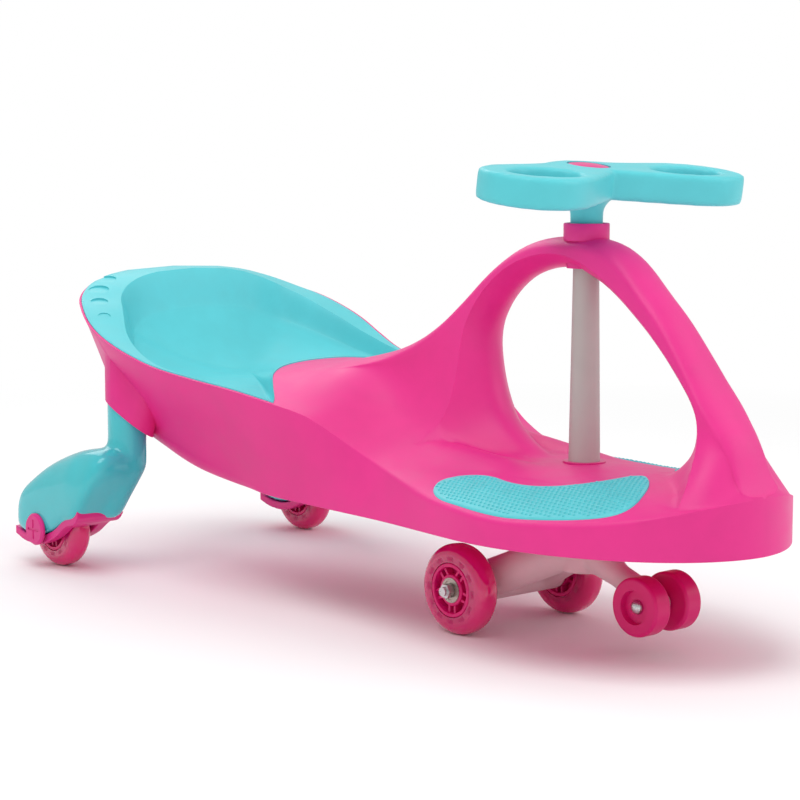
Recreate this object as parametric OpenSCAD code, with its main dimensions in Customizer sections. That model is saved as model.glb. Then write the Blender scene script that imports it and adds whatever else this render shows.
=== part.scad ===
// Wiggle car: a ride-on toy that rolls forward as the rider swings the steering wheel.
// All lengths in millimetres. +X is forward, +Y is the rider's left, +Z is up, the floor is z = 0.
// Sizes along the car are measured from the steering axis, and the finished car is then
// moved so that the middle of its length lies over the origin.

/* [Body] */
// Steering axis to the tip of the nose
nose_reach = 197; // [190:1:204]
// Steering axis to the stern
stern_reach = 606; // [595:1:620]
// Front deck at its widest
deck_width = 274; // [266:1:284]
// Seat rim at its widest
seat_width = 336; // [328:1:344]
// Lower edge of the skirt above the floor
skirt_bottom = 100; // [97:1:104]
// Top of the deck at the steering axis
deck_top = 154; // [150:1:158]
// Top of the steering arch
arch_top = 347; // [340:1:360]
// Top of the rim at the stern
stern_top = 286; // [280:1:292]
// Steering arch across its top
arch_width = 46; // [44:1:50]
// Wall of the moulded body
shell_wall = 4; // [3:0.5:5]

/* [Window under the arch] */
// Window along the car
window_length = 247; // [238:1:252]
// Steering axis to the window's rear edge
window_rear = 113; // [108:1:116]
// Arch material above the window
arch_depth = 27; // [24:1:32]

/* [Seat and foot pads] */
// Seat floor above the floor of the room
seat_floor = 195; // [192:1:198]
// Seat moulding thickness
seat_wall = 4; // [3:0.5:5]
// Height of the rounded seat rim above the body's edge
seat_bead = 8; // [6:0.5:10]
// Inner edge of the foot pads from the steering axis
pad_inner = 82; // [76:1:88]
// Foot pads' distance from the deck's edge
pad_margin = 7; // [6:0.5:10]
// Foot pads above the deck
pad_height = 3; // [2:0.5:4]

/* [Road wheels] */
// Road wheel diameter
wheel_d = 80; // [76:1:84]
// Road wheel tread width
wheel_w = 24; // [22:1:26]
// Rear axle ahead of the stern
rear_axle_inset = 27; // [20:1:34]
// Rear wheel centre from the middle of the car
rear_half_track = 157; // [154:1:160]
// Steering axis back to the front axle
front_axle_back = 84; // [80:1:90]
// Front wheel centre from the middle of the car
front_half_track = 66; // [62:1:70]
// Bearing outside diameter
bearing_d = 22; // [22:1:24]
// Bearing width
bearing_w = 7; // [6:0.5:8]
// Road wheel axle diameter
axle_d = 8; // [7:0.5:9]

/* [Anti-tip wheels] */
// Small wheel diameter
small_d = 50; // [46:1:54]
// Small wheel width
small_w = 19; // [17:1:21]
// Steering axis forward to the small axle
small_axle_ahead = 85; // [80:1:92]
// Small axle above the floor
small_axle_up = 45; // [42:1:48]
// Small wheel centre from the middle of the car
small_half_track = 19; // [18.5:0.5:22]
// Small axle diameter
small_axle_d = 8; // [7:0.5:9]

/* [Rear legs] */
// Leg post diameter
post_d = 37; // [35:1:40]
// Leg post ahead of the stern
post_inset = 106; // [100:1:112]
// Leg post from the middle of the car
post_out = 130; // [127:1:133]
// Top of the leg post
post_top = 188; // [184:1:190]
// Width of the wheel pod
pod_width = 60; // [58:1:64]

/* [Steering] */
// Column diameter at the deck
column_d = 27; // [25:0.5:29]
// Column diameter inside the steering wheel's sleeve
column_top_d = 22; // [20:0.5:23]
// Column wall
column_wall = 3; // [2.5:0.5:4]
// Outside diameter of the steering wheel's sleeve
sleeve_d = 28; // [27.5:0.5:29.5]
// Collar diameter on the arch
collar_d = 39; // [37:0.5:41]
// Top of the collar above the arch
collar_rise = 7; // [5:0.5:10]
// Steering wheel span across both loops
wheel_span = 278; // [268:1:290]
// Loop size along the car
loop_depth = 98; // [92:1:104]
// Loops' sweep ahead of the steering axis
loop_sweep = 30; // [24:1:34]
// Steering wheel rim thickness
rim_d = 22; // [20:1:24]
// Middle of the steering wheel rim above the arch
rim_rise = 47; // [43:1:55]
// Tilt of the steering wheel's loops, front down, in degrees
loop_tilt = 8; // [4:0.5:10]
// Cap in the middle of the steering wheel
cap_d = 33; // [30:1:36]

/* [Fits] */
// Radial running clearance of a shaft
running_gap = 0.05; // [0.02:0.01:0.08]
// Gap at faces that are seated
seat_gap = 0.3; // [0.2:0.05:0.4]
// Side play beside a turning wheel
side_gap = 0.5; // [0.3:0.1:0.8]
// Air around a wheel in its pod
well_gap = 3; // [2:0.5:4]

/* [Hidden] */
$fn = 64;
sides = ["left", "right"];

pink = "#e8489a";
turquoise = "#5fcdd4";
warm_grey = "#d2c6c4";
tyre_pink = "#d81f6a";
steel = "#c4c6c8";

// One overrun serves every cut
overrun = 1;
rear_axle_back = stern_reach - rear_axle_inset;
post_back = stern_reach - post_inset;
rim_height = arch_top + rim_rise;
car_tail = rear_axle_back + wheel_d / 2 + well_gap + shell_wall;
axis_x = (max(car_tail, stern_reach) - nose_reach) / 2;
wheel_r = wheel_d / 2;
deck_rise = deck_top - skirt_bottom;
stern_rise = stern_top - skirt_bottom;
arch_rise = arch_top - skirt_bottom;

// Shape of the body along the car: -1 is the stern, 0 the steering axis, 1 the nose.
// Half-width of the rim and sill: share of the deck's half-width, share of the seat's
rim_width_shares = [
    [-1.000, 0, 0.27], [-0.987, 0, 0.51], [-0.974, 0, 0.65], [-0.957, 0, 0.75], [-0.932, 0, 0.84],
    [-0.891, 0, 0.925], [-0.850, 0, 0.98], [-0.809, 0, 1.00], [-0.759, 0, 0.98], [-0.693, 0, 0.93],
    [-0.620, 0, 0.875], [-0.528, 0.51, 0.415], [-0.439, 0.97, 0], [-0.376, 0.91, 0],
    [-0.342, 0.865, 0], [-0.300, 0.82, 0], [-0.246, 0.80, 0], [-0.168, 0.862, 0], [-0.097, 0.94, 0],
    [-0.033, 0.99, 0], [0, 1, 0]
];
// Half-width of the lower edge, in the same shares
foot_width_shares = [
    [-1.000, 0, 0.22], [-0.990, 0, 0.38], [-0.974, 0, 0.50], [-0.950, 0, 0.59], [-0.924, 0, 0.64],
    [-0.891, 0, 0.655], [-0.825, 0, 0.645], [-0.693, 0, 0.61], [-0.605, 0, 0.605],
    [-0.485, 0.815, 0], [-0.345, 0.85, 0], [-0.216, 0.885, 0], [-0.109, 0.945, 0],
    [-0.033, 0.99, 0], [0, 1, 0]
];
// Height of the rim and sill: share of the deck's rise, share of the stern's rise
rim_rise_shares = [
    [-1.000, 0, 1.00], [-0.987, 0, 0.973], [-0.974, 0, 0.941], [-0.957, 0, 0.905],
    [-0.932, 0, 0.862], [-0.891, 0, 0.82], [-0.850, 0, 0.773], [-0.809, 0, 0.72],
    [-0.759, 0, 0.66], [-0.693, 0, 0.60], [-0.620, 0, 0.565], [-0.528, 0, 0.533],
    [-0.439, 0, 0.489], [-0.376, 0, 0.446], [-0.342, 0, 0.395], [-0.300, 0.56, 0.165],
    [-0.246, 0.89, 0], [-0.168, 0.69, 0], [-0.097, 0.555, 0], [-0.033, 0.49, 0], [0.056, 0.435, 0],
    [0.203, 0.417, 0], [0.487, 0.48, 0], [0.690, 0.575, 0], [0.840, 0.69, 0], [0.940, 0.80, 0],
    [1.000, 0.87, 0]
];
// Height of the deck beside the fin, in the same shares
deck_rise_shares = [
    [-1.000, 0, 1.00], [-0.891, 0, 0.84], [-0.809, 0, 0.75], [-0.693, 0, 0.62], [-0.569, 0, 0.602],
    [-0.495, 0, 0.575], [-0.412, 0, 0.522], [-0.330, 0, 0.43], [-0.262, 0.62, 0.18],
    [-0.203, 1.11, 0], [-0.149, 1.04, 0], [-0.094, 1.00, 0], [-0.033, 1.00, 0], [0.488, 1.00, 0],
    [0.732, 0.99, 0], [0.878, 0.97, 0], [1.000, 0.92, 0]
];
// Height of the crest: share of the arch's rise, share of the stern's rise
crest_shares = [
    [-1.000, 0, 1.01], [-0.891, 0, 0.85], [-0.809, 0, 0.755], [-0.693, 0, 0.64], [-0.569, 0, 0.632],
    [-0.487, 0, 0.652], [-0.399, 0.27, 0.352], [-0.348, 0.572, 0], [-0.302, 0.620, 0],
    [-0.259, 0.685, 0], [-0.216, 0.768, 0], [-0.163, 0.876, 0], [-0.112, 0.952, 0],
    [-0.066, 0.988, 0], [0, 1.00, 0], [0.091, 0.994, 0], [0.193, 0.972, 0], [0.289, 0.926, 0],
    [0.406, 0.838, 0], [0.518, 0.751, 0], [0.629, 0.643, 0], [0.736, 0.531, 0], [0.817, 0.451, 0],
    [0.898, 0.366, 0], [0.957, 0.29, 0], [0.985, 0.236, 0], [0.995, 0.212, 0], [1.000, 0.20, 0]
];
// Half-width of the crest in shares of the arch's half-width
crest_width_shares = [
    [-1.000, 3.4], [-0.569, 3.1], [-0.487, 2.5], [-0.399, 1.75], [-0.330, 1.38], [-0.248, 1.14],
    [-0.165, 1.02], [0, 1.00], [0.244, 0.92], [0.488, 0.86], [0.683, 0.90], [0.829, 1.02],
    [1.000, 1.10]
];
// Spread of the fin's flank in shares of the deck beside it
flank_shares = [
    [-1.000, 0.97], [-0.569, 0.97], [-0.330, 0.95], [-0.248, 0.86], [-0.165, 0.72], [-0.083, 0.52],
    [0, 0.44], [0.293, 0.46], [0.537, 0.52], [0.732, 0.64], [0.854, 0.85], [1.000, 0.96]
];
// Height of the hull's underside in shares of the stern's rise
keel_shares = [
    [-1.000, 0.975], [-0.993, 0.87], [-0.983, 0.75], [-0.970, 0.62], [-0.949, 0.47],
    [-0.924, 0.345], [-0.891, 0.27], [-0.842, 0.185], [-0.792, 0.12], [-0.743, 0.063],
    [-0.693, 0.025], [-0.627, 0.003], [-0.569, 0], [0, 0], [1.000, 0]
];
// Rounding of the hull's lower edge in shares of hull_round
chine_shares = [
    [-1.000, 0.05], [-0.950, 0.7], [-0.891, 1], [-0.693, 1], [-0.569, 0.5], [-0.485, 0.12],
    [0, 0.1], [1.000, 0.1]
];
hull_round = 20;
crest_crown = 12;

// Window outline: share of its length from the rear, share of its height above the deck
window_shares = [
    [0, 0.52], [0.045, 0.745], [0.19, 0.93], [0.385, 1.00], [0.565, 0.925], [0.745, 0.735],
    [0.895, 0.515], [0.995, 0.295], [0.955, 0.105], [0.78, -0.02], [0.36, -0.03], [0.085, 0.18]
];
window_height = arch_top - arch_depth - deck_top;
// The window's mouth opens by mouth_flare at mouth_half from the car's middle, then evenly
mouth_half = arch_width * 0.43;
mouth_flare = 9;
mouth_reach = arch_width * 1.7;

// Seat front edge: place along the car, share of the deck's half-width
seat_front_shares = [
    [-0.569, 0], [-0.571, 0.20], [-0.564, 0.41], [-0.536, 0.60], [-0.490, 0.765], [-0.452, 0.885]
];
seat_corner_share = -0.437;
// Place of the seat's middle along the car, behind the steering axis
seat_middle_share = -0.775;
// Seat bowl: share of the way out to the rim, share of the rise from floor to rim
bowl_shares = [
    [0.50, 0], [0.58, 0.03], [0.66, 0.11], [0.74, 0.28], [0.82, 0.54], [0.89, 0.81], [0.945, 0.97],
    [0.975, 1.00], [1.00, 0.92]
];
lip_share = 0.955;
// At the stern the bowl stops short of the rim and leaves a ledge
ledge_share = 0.17;
ledge_start_share = 0.82;
ledge_end_share = 0.96;
bowl_end_share = 0.9;
// The sloping side of the bowl is thicker upwards, to keep its wall
slant_share = 0.4;
rim_trim = 0.8;
rim_overrun = 3;

// Rear pod outline from the axle: share of the way to the post, share of the rise
pod_top_shares = [
    [-0.59, 0.20], [-0.565, 0.34], [-0.475, 0.45], [-0.33, 0.54], [0, 0.74], [0.35, 0.90], [0.72, 1.00],
    [1.05, 1.00], [1.235, 0.92]
];
pod_foot_shares = [
    [-0.59, 0], [-0.33, -0.065], [0, -0.065], [0.33, 0.04], [0.60, 0.19], [0.82, 0.25],
    [1.02, 0.47], [1.235, 0.72]
];
// Narrowing of the pod towards its sides: share of its half-width, share of its outline
pod_side_shares = [
    [-1.00, 0.72], [-0.94, 0.84], [-0.80, 0.93], [-0.5, 0.985], [0, 1.00], [0.5, 0.985], [0.80, 0.93],
    [0.94, 0.84], [1.00, 0.72]
];
pod_reach = rear_axle_back - post_back;
pod_rise = 92;
pod_steps = 14;
cover_depth = 10;
cover_end_share = 0.72;
cover_gap = 1.8;

// Sizes of the smaller pieces
core_ring_d = 48;
core_ring_wall = 4;
core_boss_wall = 2.5;
core_web = 6;
spoke_w = 2.4;
spoke_pair = 7;
spokes = 5;
lugs = 12;
lug_w = 5;
lug_h = 3;
tread_round = 10;
bearing_rim = 2.4;
bearing_recess = 0.8;
inner_race_d = axle_d + 2 * bearing_rim;
outer_race_d = bearing_d - 2 * bearing_rim;
nut_d = 13;
nut_h = 6;
axle_tip = 3;
axle_shoulder = 2;
axle_grip = 22;
cap_round_d = 32;
cap_thick = 4;
cap_mark_w = 2.4;
cap_mark_depth = 0.8;
small_tread_round = 3;
small_hub_d = 27;
small_recess = 5;
push_cap_d = 12;
push_cap_h = 4;
screw_d = 5;
screw_head_d = 10;
screw_head_h = 3;
screw_in = 6;
socket_wall = 4;
socket_roof = 4;
socket_lip = 2.5;
collar_spigot_wall = 2.5;
collar_boss_wall = 3.5;
bush_wall = 3;
bush_flange_w = 1.5;
bush_flange_h = 3;
bush_length = 40;
bush_boss_wall = 3.5;
spotface = 1.5;
rib_w = 2.5;
rib_depth = 26;
hub_d = 62;
hub_rise = 20;
sleeve_bottom = arch_top - arch_depth + 6;
truck_socket_wall = 6;
truck_top = 108;
truck_floor = 66;
truck_arm_r = 17;
truck_boss_d = 30;
pin_d = 6;
bolt_d = 8;
bolt_head_d = 15;
bolt_head_h = 5;
cap_rise = 3;

// Shared shape functions

// A table of shares, or of two shares, made into places and sizes along the car
function place(q) = q < 0 ? q * stern_reach : q * nose_reach;
function sized(table, base, a, b) = [
    for (k = table) [place(k[0]), base + a * k[1] + (len(k) > 2 ? b * k[2] : 0)]
];

// A smooth curve through a table of places and sizes
function knot(t, x, i = 0) = i >= len(t) - 2 || x < t[i + 1][0] ? i : knot(t, x, i + 1);
function rise(t, i, j) = (t[j][1] - t[i][1]) / (t[j][0] - t[i][0]);
function slope(t, i) = rise(t, max(i - 1, 0), min(i + 1, len(t) - 1));
function blend(p0, p1, m0, m1, u) =
    p0 * (1 + 2 * u) * pow(1 - u, 2) + m0 * u * pow(1 - u, 2)
    + p1 * u * u * (3 - 2 * u) - m1 * u * u * (1 - u);
function along(t, x) = let (
        i = knot(t, x),
        h = t[i + 1][0] - t[i][0],
        u = min(max((x - t[i][0]) / h, 0), 1)
    ) blend(t[i][1], t[i + 1][1], slope(t, i) * h, slope(t, i + 1) * h, u);
function mix(a, b, u) = a + (b - a) * u;
function smooth(u) = let (c = min(max(u, 0), 1)) c * c * (3 - 2 * c);

// A smooth closed outline through a few points
function around(p, i) = p[(i + len(p)) % len(p)];
function closed_curve(p, steps) = [
    for (i = [0:len(p) - 1], s = [0:steps - 1])
        blend(p[i], around(p, i + 1), (around(p, i + 1) - around(p, i - 1)) / 2,
            (around(p, i + 2) - p[i]) / 2, s / steps)
];

// A closed skin over rings with equal numbers of points, ends closed by fans from one point
module skin(rings, apex = 0) {
    n = len(rings[0]);
    last = len(rings) - 1;
    points = [for (r = rings, p = r) p];
    walls = [
        for (i = [0:last - 1], j = [0:n - 1], h = [0, 1])
            h == 0
                ? [i * n + j, i * n + (j + 1) % n, (i + 1) * n + (j + 1) % n]
                : [i * n + j, (i + 1) * n + (j + 1) % n, (i + 1) * n + j]
    ];
    ends = [
        for (j = [1:n - 2], h = [0, 1]) let (a = (apex + j) % n, b = (apex + j + 1) % n)
            h == 0 ? [apex, b, a] : [last * n + apex, last * n + a, last * n + b]
    ];
    polyhedron(points, concat(walls, ends));
}

// Body surfaces

rim_width_curve = sized(rim_width_shares, 0, deck_width / 2, seat_width / 2);
foot_width_curve = sized(foot_width_shares, 0, deck_width / 2, seat_width / 2);
rim_rise_curve = sized(rim_rise_shares, skirt_bottom, deck_rise, stern_rise);
deck_rise_curve = sized(deck_rise_shares, skirt_bottom, deck_rise, stern_rise);
crest_curve = sized(crest_shares, skirt_bottom, arch_rise, stern_rise);
crest_width_curve = sized(crest_width_shares, 0, arch_width / 2, 0);
flank_curve = sized(flank_shares, 0, 1, 0);
keel_curve = sized(keel_shares, skirt_bottom, stern_rise, 0);
chine_curve = sized(chine_shares, 0, hull_round, 0);

// The nose is half an ellipse in plan; inset moves the surface inwards
function nose_half(x, inset) =
    (deck_width / 2 - inset) * sqrt(max(1 - pow(x / (nose_reach - inset), 2), 0));
function rim_half(x, inset = 0) = x > 0 ? nose_half(x, inset) : along(rim_width_curve, x) - inset;
function foot_half(x, inset = 0) = x > 0 ? nose_half(x, inset) : along(foot_width_curve, x) - inset;
function rim_z(x) = along(rim_rise_curve, x);
function crest_half(x, inset = 0) =
    min(along(crest_width_curve, x) - inset, rim_half(x, inset) * 0.75);
function flank_reach(x, inset = 0) =
    along(flank_curve, x) * (rim_half(x, inset) - crest_half(x, inset));
function deck_z(x, y) =
    mix(along(deck_rise_curve, x), rim_z(x), pow(min(abs(y) / max(rim_half(x), overrun), 1), 2));
function crest_fall(x) = min(crest_crown, (along(crest_curve, x) - deck_z(x, 0)) / 2);
// Height of the body's upper surface at any place
function top_z(x, y) = let (
        w = crest_half(x),
        f = flank_reach(x),
        c = abs(y)
    )
    c < w ? along(crest_curve, x) - crest_fall(x) * (1 - sqrt(1 - pow(c / w, 2)))
    : c > w + f ? deck_z(x, y)
    : deck_z(x, y)
        + (along(crest_curve, x) - crest_fall(x) - deck_z(x, w)) * pow(1 - sqrt((c - w) / f), 2);

// A height kept under a slightly arched ceiling
function under(z, share, ceiling) = min(z, ceiling + crest_crown * (1 - share * share));
// One half of a cross-section, from the middle of the underside to the crest
function half_section(x, inset, low, ceiling, turn, flank) = let (
        wf = foot_half(x, inset),
        zr = min(rim_z(x) - inset, ceiling),
        ch = min(along(chine_curve, x), (zr - low) * 0.6, wf * 0.6),
        rim = rim_half(x, inset),
        wr = mix(wf, rim, (zr - low - ch) / (rim_z(x) - inset - low - ch)),
        k = wr / rim,
        w = crest_half(x, inset),
        f = flank_reach(x, inset),
        zt = along(crest_curve, x) - inset,
        fall = crest_fall(x)
    ) concat(
        [[0, low], [(wf - ch) * 0.6, low]],
        [for (a = [0:turn:90]) [wf - ch + ch * sin(a), low + ch - ch * cos(a)]],
        [[mix(wf, wr, 0.5), mix(low + ch, zr, 0.5)]],
        [for (u = [0, 0.5]) let (y = mix(rim, w + f, u))
            [y * k, under(deck_z(x, y) - inset, y / rim, ceiling)]],
        [for (u = flank) let (y = w + f * u * u, up = zt - fall - deck_z(x, w) + inset)
            [y * k, under(deck_z(x, y) - inset + up * pow(1 - u, 2), y / rim, ceiling)]],
        [for (a = [90:-turn:0]) let (y = w * sin(a))
            [y * k, under(zt - fall * (1 - cos(a)), y / rim, ceiling)]]
    );
// The whole cross-section as a ring of points
function section(x, inset, low, ceiling, turn, flank) = let (
        h = half_section(x, inset, low, ceiling, turn, flank)
    ) concat(
    [for (p = h) [x, -p[0], p[1]]],
    [for (i = [len(h) - 2:-1:1]) [x, h[i][0], h[i][1]]]
);
// Places of the cross-sections: closer where the stern and the nose turn
stern_step_shares = [
    0, 0.006, 0.014, 0.025, 0.04, 0.065, 0.1, 0.145, 0.2, 0.26, 0.33, 0.4, 0.47, 0.535
];
hump_step_shares = [0.6, 0.655, 0.7, 0.74, 0.78, 0.82, 0.86, 0.9, 0.95];
nose_turns = [0:7.5:82.5];
flank_fine_shares = [1, 0.84, 0.68, 0.54, 0.41, 0.28, 0.14];
flank_coarse_shares = [1, 0.68, 0.41, 0.18];
function stations(inset) = concat(
    [for (s = stern_step_shares) -(stern_reach - inset) * (1 - s)],
    [for (s = hump_step_shares) -stern_reach * (1 - s)],
    [for (a = nose_turns) (nose_reach - inset) * sin(a)],
    [(nose_reach - inset) * sin(87)]
);

// The body's outside as one solid; grow swells it by a lip
module body_outside(grow = 0) {
    skin([
        for (x = stations(0))
            section(x, -grow, along(keel_curve, x) - grow, arch_top + overrun, 30, flank_fine_shares)
    ]);
}
bulkhead_x = place(seat_front_shares[0][0]);
hollow_start = bulkhead_x + shell_wall;
under_seat = seat_floor - 2 * seat_wall - seat_gap - shell_wall - crest_crown;
seat_front_x = place(seat_corner_share);
// The front hollow's ceiling drops under the seat
function hollow_ceiling(x) =
    mix(under_seat, arch_top, smooth((x - seat_front_x - shell_wall) / (hull_round * 2)));
module front_hollow() {
    all_places = stations(shell_wall);
    places = [
        for (i = [0:len(all_places) - 1])
            if (all_places[i] > hollow_start + hull_round / 2 && (all_places[i] < 0 || i % 2 == 0))
                all_places[i]
    ];
    skin([
        for (x = concat([hollow_start], places))
            section(x, shell_wall, skirt_bottom - overrun, hollow_ceiling(x), 45, flank_coarse_shares)
    ]);
}
// The tub behind the bulkhead is open at its top, where the seat lies
function tub_section(x) = let (
        wr = rim_half(x, shell_wall),
        wf = min(foot_half(x, shell_wall), wr),
        high = rim_z(x),
        keel = max(along(keel_curve, x), along(keel_curve, x - shell_wall)),
        low = min(keel + shell_wall, high - seat_bead),
        ch = min(along(chine_curve, x), (high - low) * 0.6),
        half = concat(
            [[0, low]],
            [for (a = [0:30:90]) [wf - ch + ch * sin(a), low + ch - ch * cos(a)]],
            [[mix(wf, wr, 0.5), mix(low + ch, high, 0.5)], [wr, high], [wr, stern_top + hull_round]]
        )
    ) concat(
        [for (p = half) [x, -p[0], p[1]]],
        [[x, 0, stern_top + hull_round]],
        [for (i = [len(half) - 1:-1:1]) [x, half[i][0], half[i][1]]]
    );
module tub_hollow() {
    places = [for (x = stations(shell_wall)) if (x < bulkhead_x - overrun) x];
    skin([for (x = concat(places, [bulkhead_x])) tub_section(x)]);
}

// The window: its outline is carried across the car and opens towards both sides
window_outline = closed_curve([
    for (p = window_shares) [p[0] * window_length - window_rear, deck_top + p[1] * window_height]
], 3);
function outward(c, i) = let (t = around(c, i + 1) - around(c, i - 1)) [-t[1], t[0]] / norm(t);
function mouth(y) = let (v = abs(y) / mouth_half)
    mouth_flare * (v < 1 ? v * v : 2 * v - 1);
mouth_step_shares = [
    -1, -0.72, -0.5, -0.36, -0.25, -0.17, -0.08, 0, 0.08, 0.17, 0.25, 0.36, 0.5, 0.72, 1
];
module window_cut(grow = 0) {
    skin([
        for (s = mouth_step_shares) let (y = -s * mouth_reach) [
            for (i = [0:len(window_outline) - 1]) let (
                p = window_outline[i] + outward(window_outline, i) * (mouth(y) + grow)
            ) [p[0], y, max(p[1], deck_z(p[0], y) - grow)]
        ]
    ]);
}

// Seat surface: rings about the seat's middle
seat_middle = place(seat_middle_share);
seat_rim_shares = [
    0.02, 0.09, 0.17, 0.26, 0.36, 0.46, 0.56, 0.65, 0.73, 0.8, 0.86, 0.91, 0.95, 0.975, 0.99, 1
];
seat_half_edge = concat(
    [for (p = seat_front_shares) [place(p[0]), p[1] * deck_width / 2, 0]],
    [for (s = seat_rim_shares) let (x = mix(seat_front_x, -stern_reach, s))
        [x, rim_half(x), smooth(s * 4)]]
);
seat_edge = concat(
    seat_half_edge,
    [for (i = [len(seat_half_edge) - 1:-1:1])
        [seat_half_edge[i][0], -seat_half_edge[i][1], seat_half_edge[i][2]]]
);
// Height at the edge: let into the body in front, on its trimmed rim with a bead behind
function edge_low(p) = top_z(p[0], p[1]) - mix(seat_wall, rim_trim, p[2]);
function edge_high(p) = top_z(p[0], p[1]) + mix(seat_gap, seat_bead, p[2]);
function seat_point(p, share, z) = [mix(seat_middle, p[0], share), p[1] * share, z];
function bowl_share(p, share) = share > ledge_end_share ? share
    : share * (1 - ledge_share * smooth((-p[0] / stern_reach - ledge_start_share) / (1 - ledge_start_share)));
// The pocket clears the seat by a gap, and along the rim runs out past the body's side
function edge_grown(p, gap) = let (
        v = [p[0] - seat_middle, p[1]],
        grow = gap + (gap > 0 ? min(p[2] * 4, 1) * rim_overrun : 0),
        w = v * (1 + grow / norm(v))
    ) [seat_middle + w[0], w[1], p[2]];
// The seat's solid, or with a gap and a lift the pocket that it lies in
module seat_solid(gap = 0, lift = 0) {
    upper = [for (b = bowl_shares) [
        for (p = seat_edge)
            seat_point(edge_grown(p, gap), bowl_share(p, b[0]), mix(seat_floor, edge_high(p), b[1]) + lift)
    ]];
    low_shares = [for (b = bowl_shares) if (b[0] < bowl_end_share) b];
    lower = [for (b = low_shares) [
        for (p = seat_edge) seat_point(edge_grown(p, gap), bowl_share(p, b[0]),
            mix(seat_floor, edge_high(p), b[1]) - seat_wall * (1 + b[1] * slant_share) - gap)
    ]];
    lip = [for (s = [lip_share, 1]) [
        for (p = seat_edge) seat_point(edge_grown(p, gap), s, edge_low(p) - gap)
    ]];
    skin(concat(
        upper,
        [lip[1], lip[0]],
        [for (i = [len(lower) - 1:-1:0]) lower[i]]
    ), len(seat_half_edge) - 1);
}

// Pieces that repeat

module at_axis() {
    translate([axis_x, 0, 0]) children();
}
module on_side(side) {
    mirror([0, side == "left" ? 0 : 1, 0]) children();
}
// A wheel's own frame: its axle along Y, its outer face towards +Y
module at_corner(corner) {
    front = corner == "front_left" || corner == "front_right";
    side = corner == "front_left" || corner == "rear_left" ? "left" : "right";
    back = front ? front_axle_back : rear_axle_back;
    half = front ? front_half_track : rear_half_track;
    at_axis() on_side(side) translate([-back, half, wheel_r]) rotate([-90, 0, 0]) children();
}
module tube(d, bore, length) {
    difference() {
        cylinder(d = d, h = length);
        translate([0, 0, -overrun]) cylinder(d = bore, h = length + 2 * overrun);
    }
}
module rib(from, to, low, high) {
    hull() {
        translate([from[0], from[1], low]) cylinder(d = rib_w, h = high - low, $fn = 8);
        translate([to[0], to[1], low]) cylinder(d = rib_w, h = high - low, $fn = 8);
    }
}

// Body

bush_d = column_d + 2 * (running_gap + bush_wall);
bush_boss_d = bush_d + 2 * (seat_gap + bush_boss_wall);
bush_flange_d = bush_d + 2 * bush_flange_w;
collar_bore = sleeve_d + 2 * running_gap;
collar_spigot_d = collar_bore + 2 * collar_spigot_wall;
collar_hole_d = collar_spigot_d + 2 * seat_gap;
post_hole_d = post_d + 2 * seat_gap;
socket_d = post_hole_d + 2 * socket_wall;
rib_low = deck_top - rib_depth;
rib_out = deck_width / 2 - shell_wall;

module deck_ribs() {
    // Ribs run out from the boss under the column, and across the middle of the car
    for (a = [30:60:330])
        rib([0, 0], [rib_out * cos(a), rib_out * 0.8 * sin(a)], rib_low, deck_top);
    for (s = [0.3, 0.42])
        rib([-stern_reach * s, -rib_out], [-stern_reach * s, rib_out], under_seat - rib_depth, arch_top);
    rib([bulkhead_x, 0], [0, 0], under_seat - rib_depth, under_seat);
}
module leg_socket() {
    intersection() {
        translate([-post_back, post_out, 0]) cylinder(d = socket_d, h = post_top + seat_gap + socket_roof);
        body_outside(socket_lip);
    }
}
module leg_socket_hole() {
    translate([-post_back, post_out, 0]) cylinder(d = post_hole_d, h = post_top + seat_gap);
    translate([-post_back, post_out - screw_in, 0]) cylinder(d = screw_d + 2 * seat_gap, h = stern_top);
}
module body_shell() {
    color(pink) at_axis() difference() {
        $fn = 36;
        union() {
            difference() {
                body_outside();
                window_cut();
                tub_hollow();
                difference() {
                    front_hollow();
                    window_cut(shell_wall);
                    cylinder(d = bush_boss_d, h = deck_top);
                    translate([0, 0, arch_top - arch_depth])
                        cylinder(d = collar_hole_d + 2 * collar_boss_wall, h = arch_depth);
                    intersection() {
                        deck_ribs();
                        translate([0, 0, rib_low]) cylinder(r = stern_reach, h = arch_top);
                    }
                }
            }
            for (s = sides) on_side(s) leg_socket();
        }
        seat_solid(seat_gap, seat_bead * 4);
        cylinder(d = bush_d + 2 * seat_gap, h = deck_top + overrun);
        cylinder(d = bush_boss_d + overrun, h = deck_top - bush_length);
        translate([0, 0, deck_top - spotface])
            cylinder(d = bush_flange_d + 2 * seat_gap, h = spotface + bush_flange_h);
        translate([0, 0, arch_top - 2 * arch_depth])
            cylinder(d = collar_hole_d, h = 2 * arch_depth + overrun);
        translate([0, 0, arch_top - spotface])
            cylinder(d = collar_d + 2 * seat_gap, h = spotface + collar_rise);
        for (s = sides) on_side(s) leg_socket_hole();
    }
}
// A slightly raised panel makes the middle of the seat's floor flat
panel_share = 0.47;
panel_rise = 0.5;
module seat() {
    color(turquoise) at_axis() {
        seat_solid();
        translate([0, 0, seat_floor - seat_wall / 2]) linear_extrude(height = seat_wall / 2 + panel_rise)
            polygon([for (p = seat_edge) let (s = bowl_share(p, panel_share))
                [mix(seat_middle, p[0], s), p[1] * s]]);
    }
}

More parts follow.
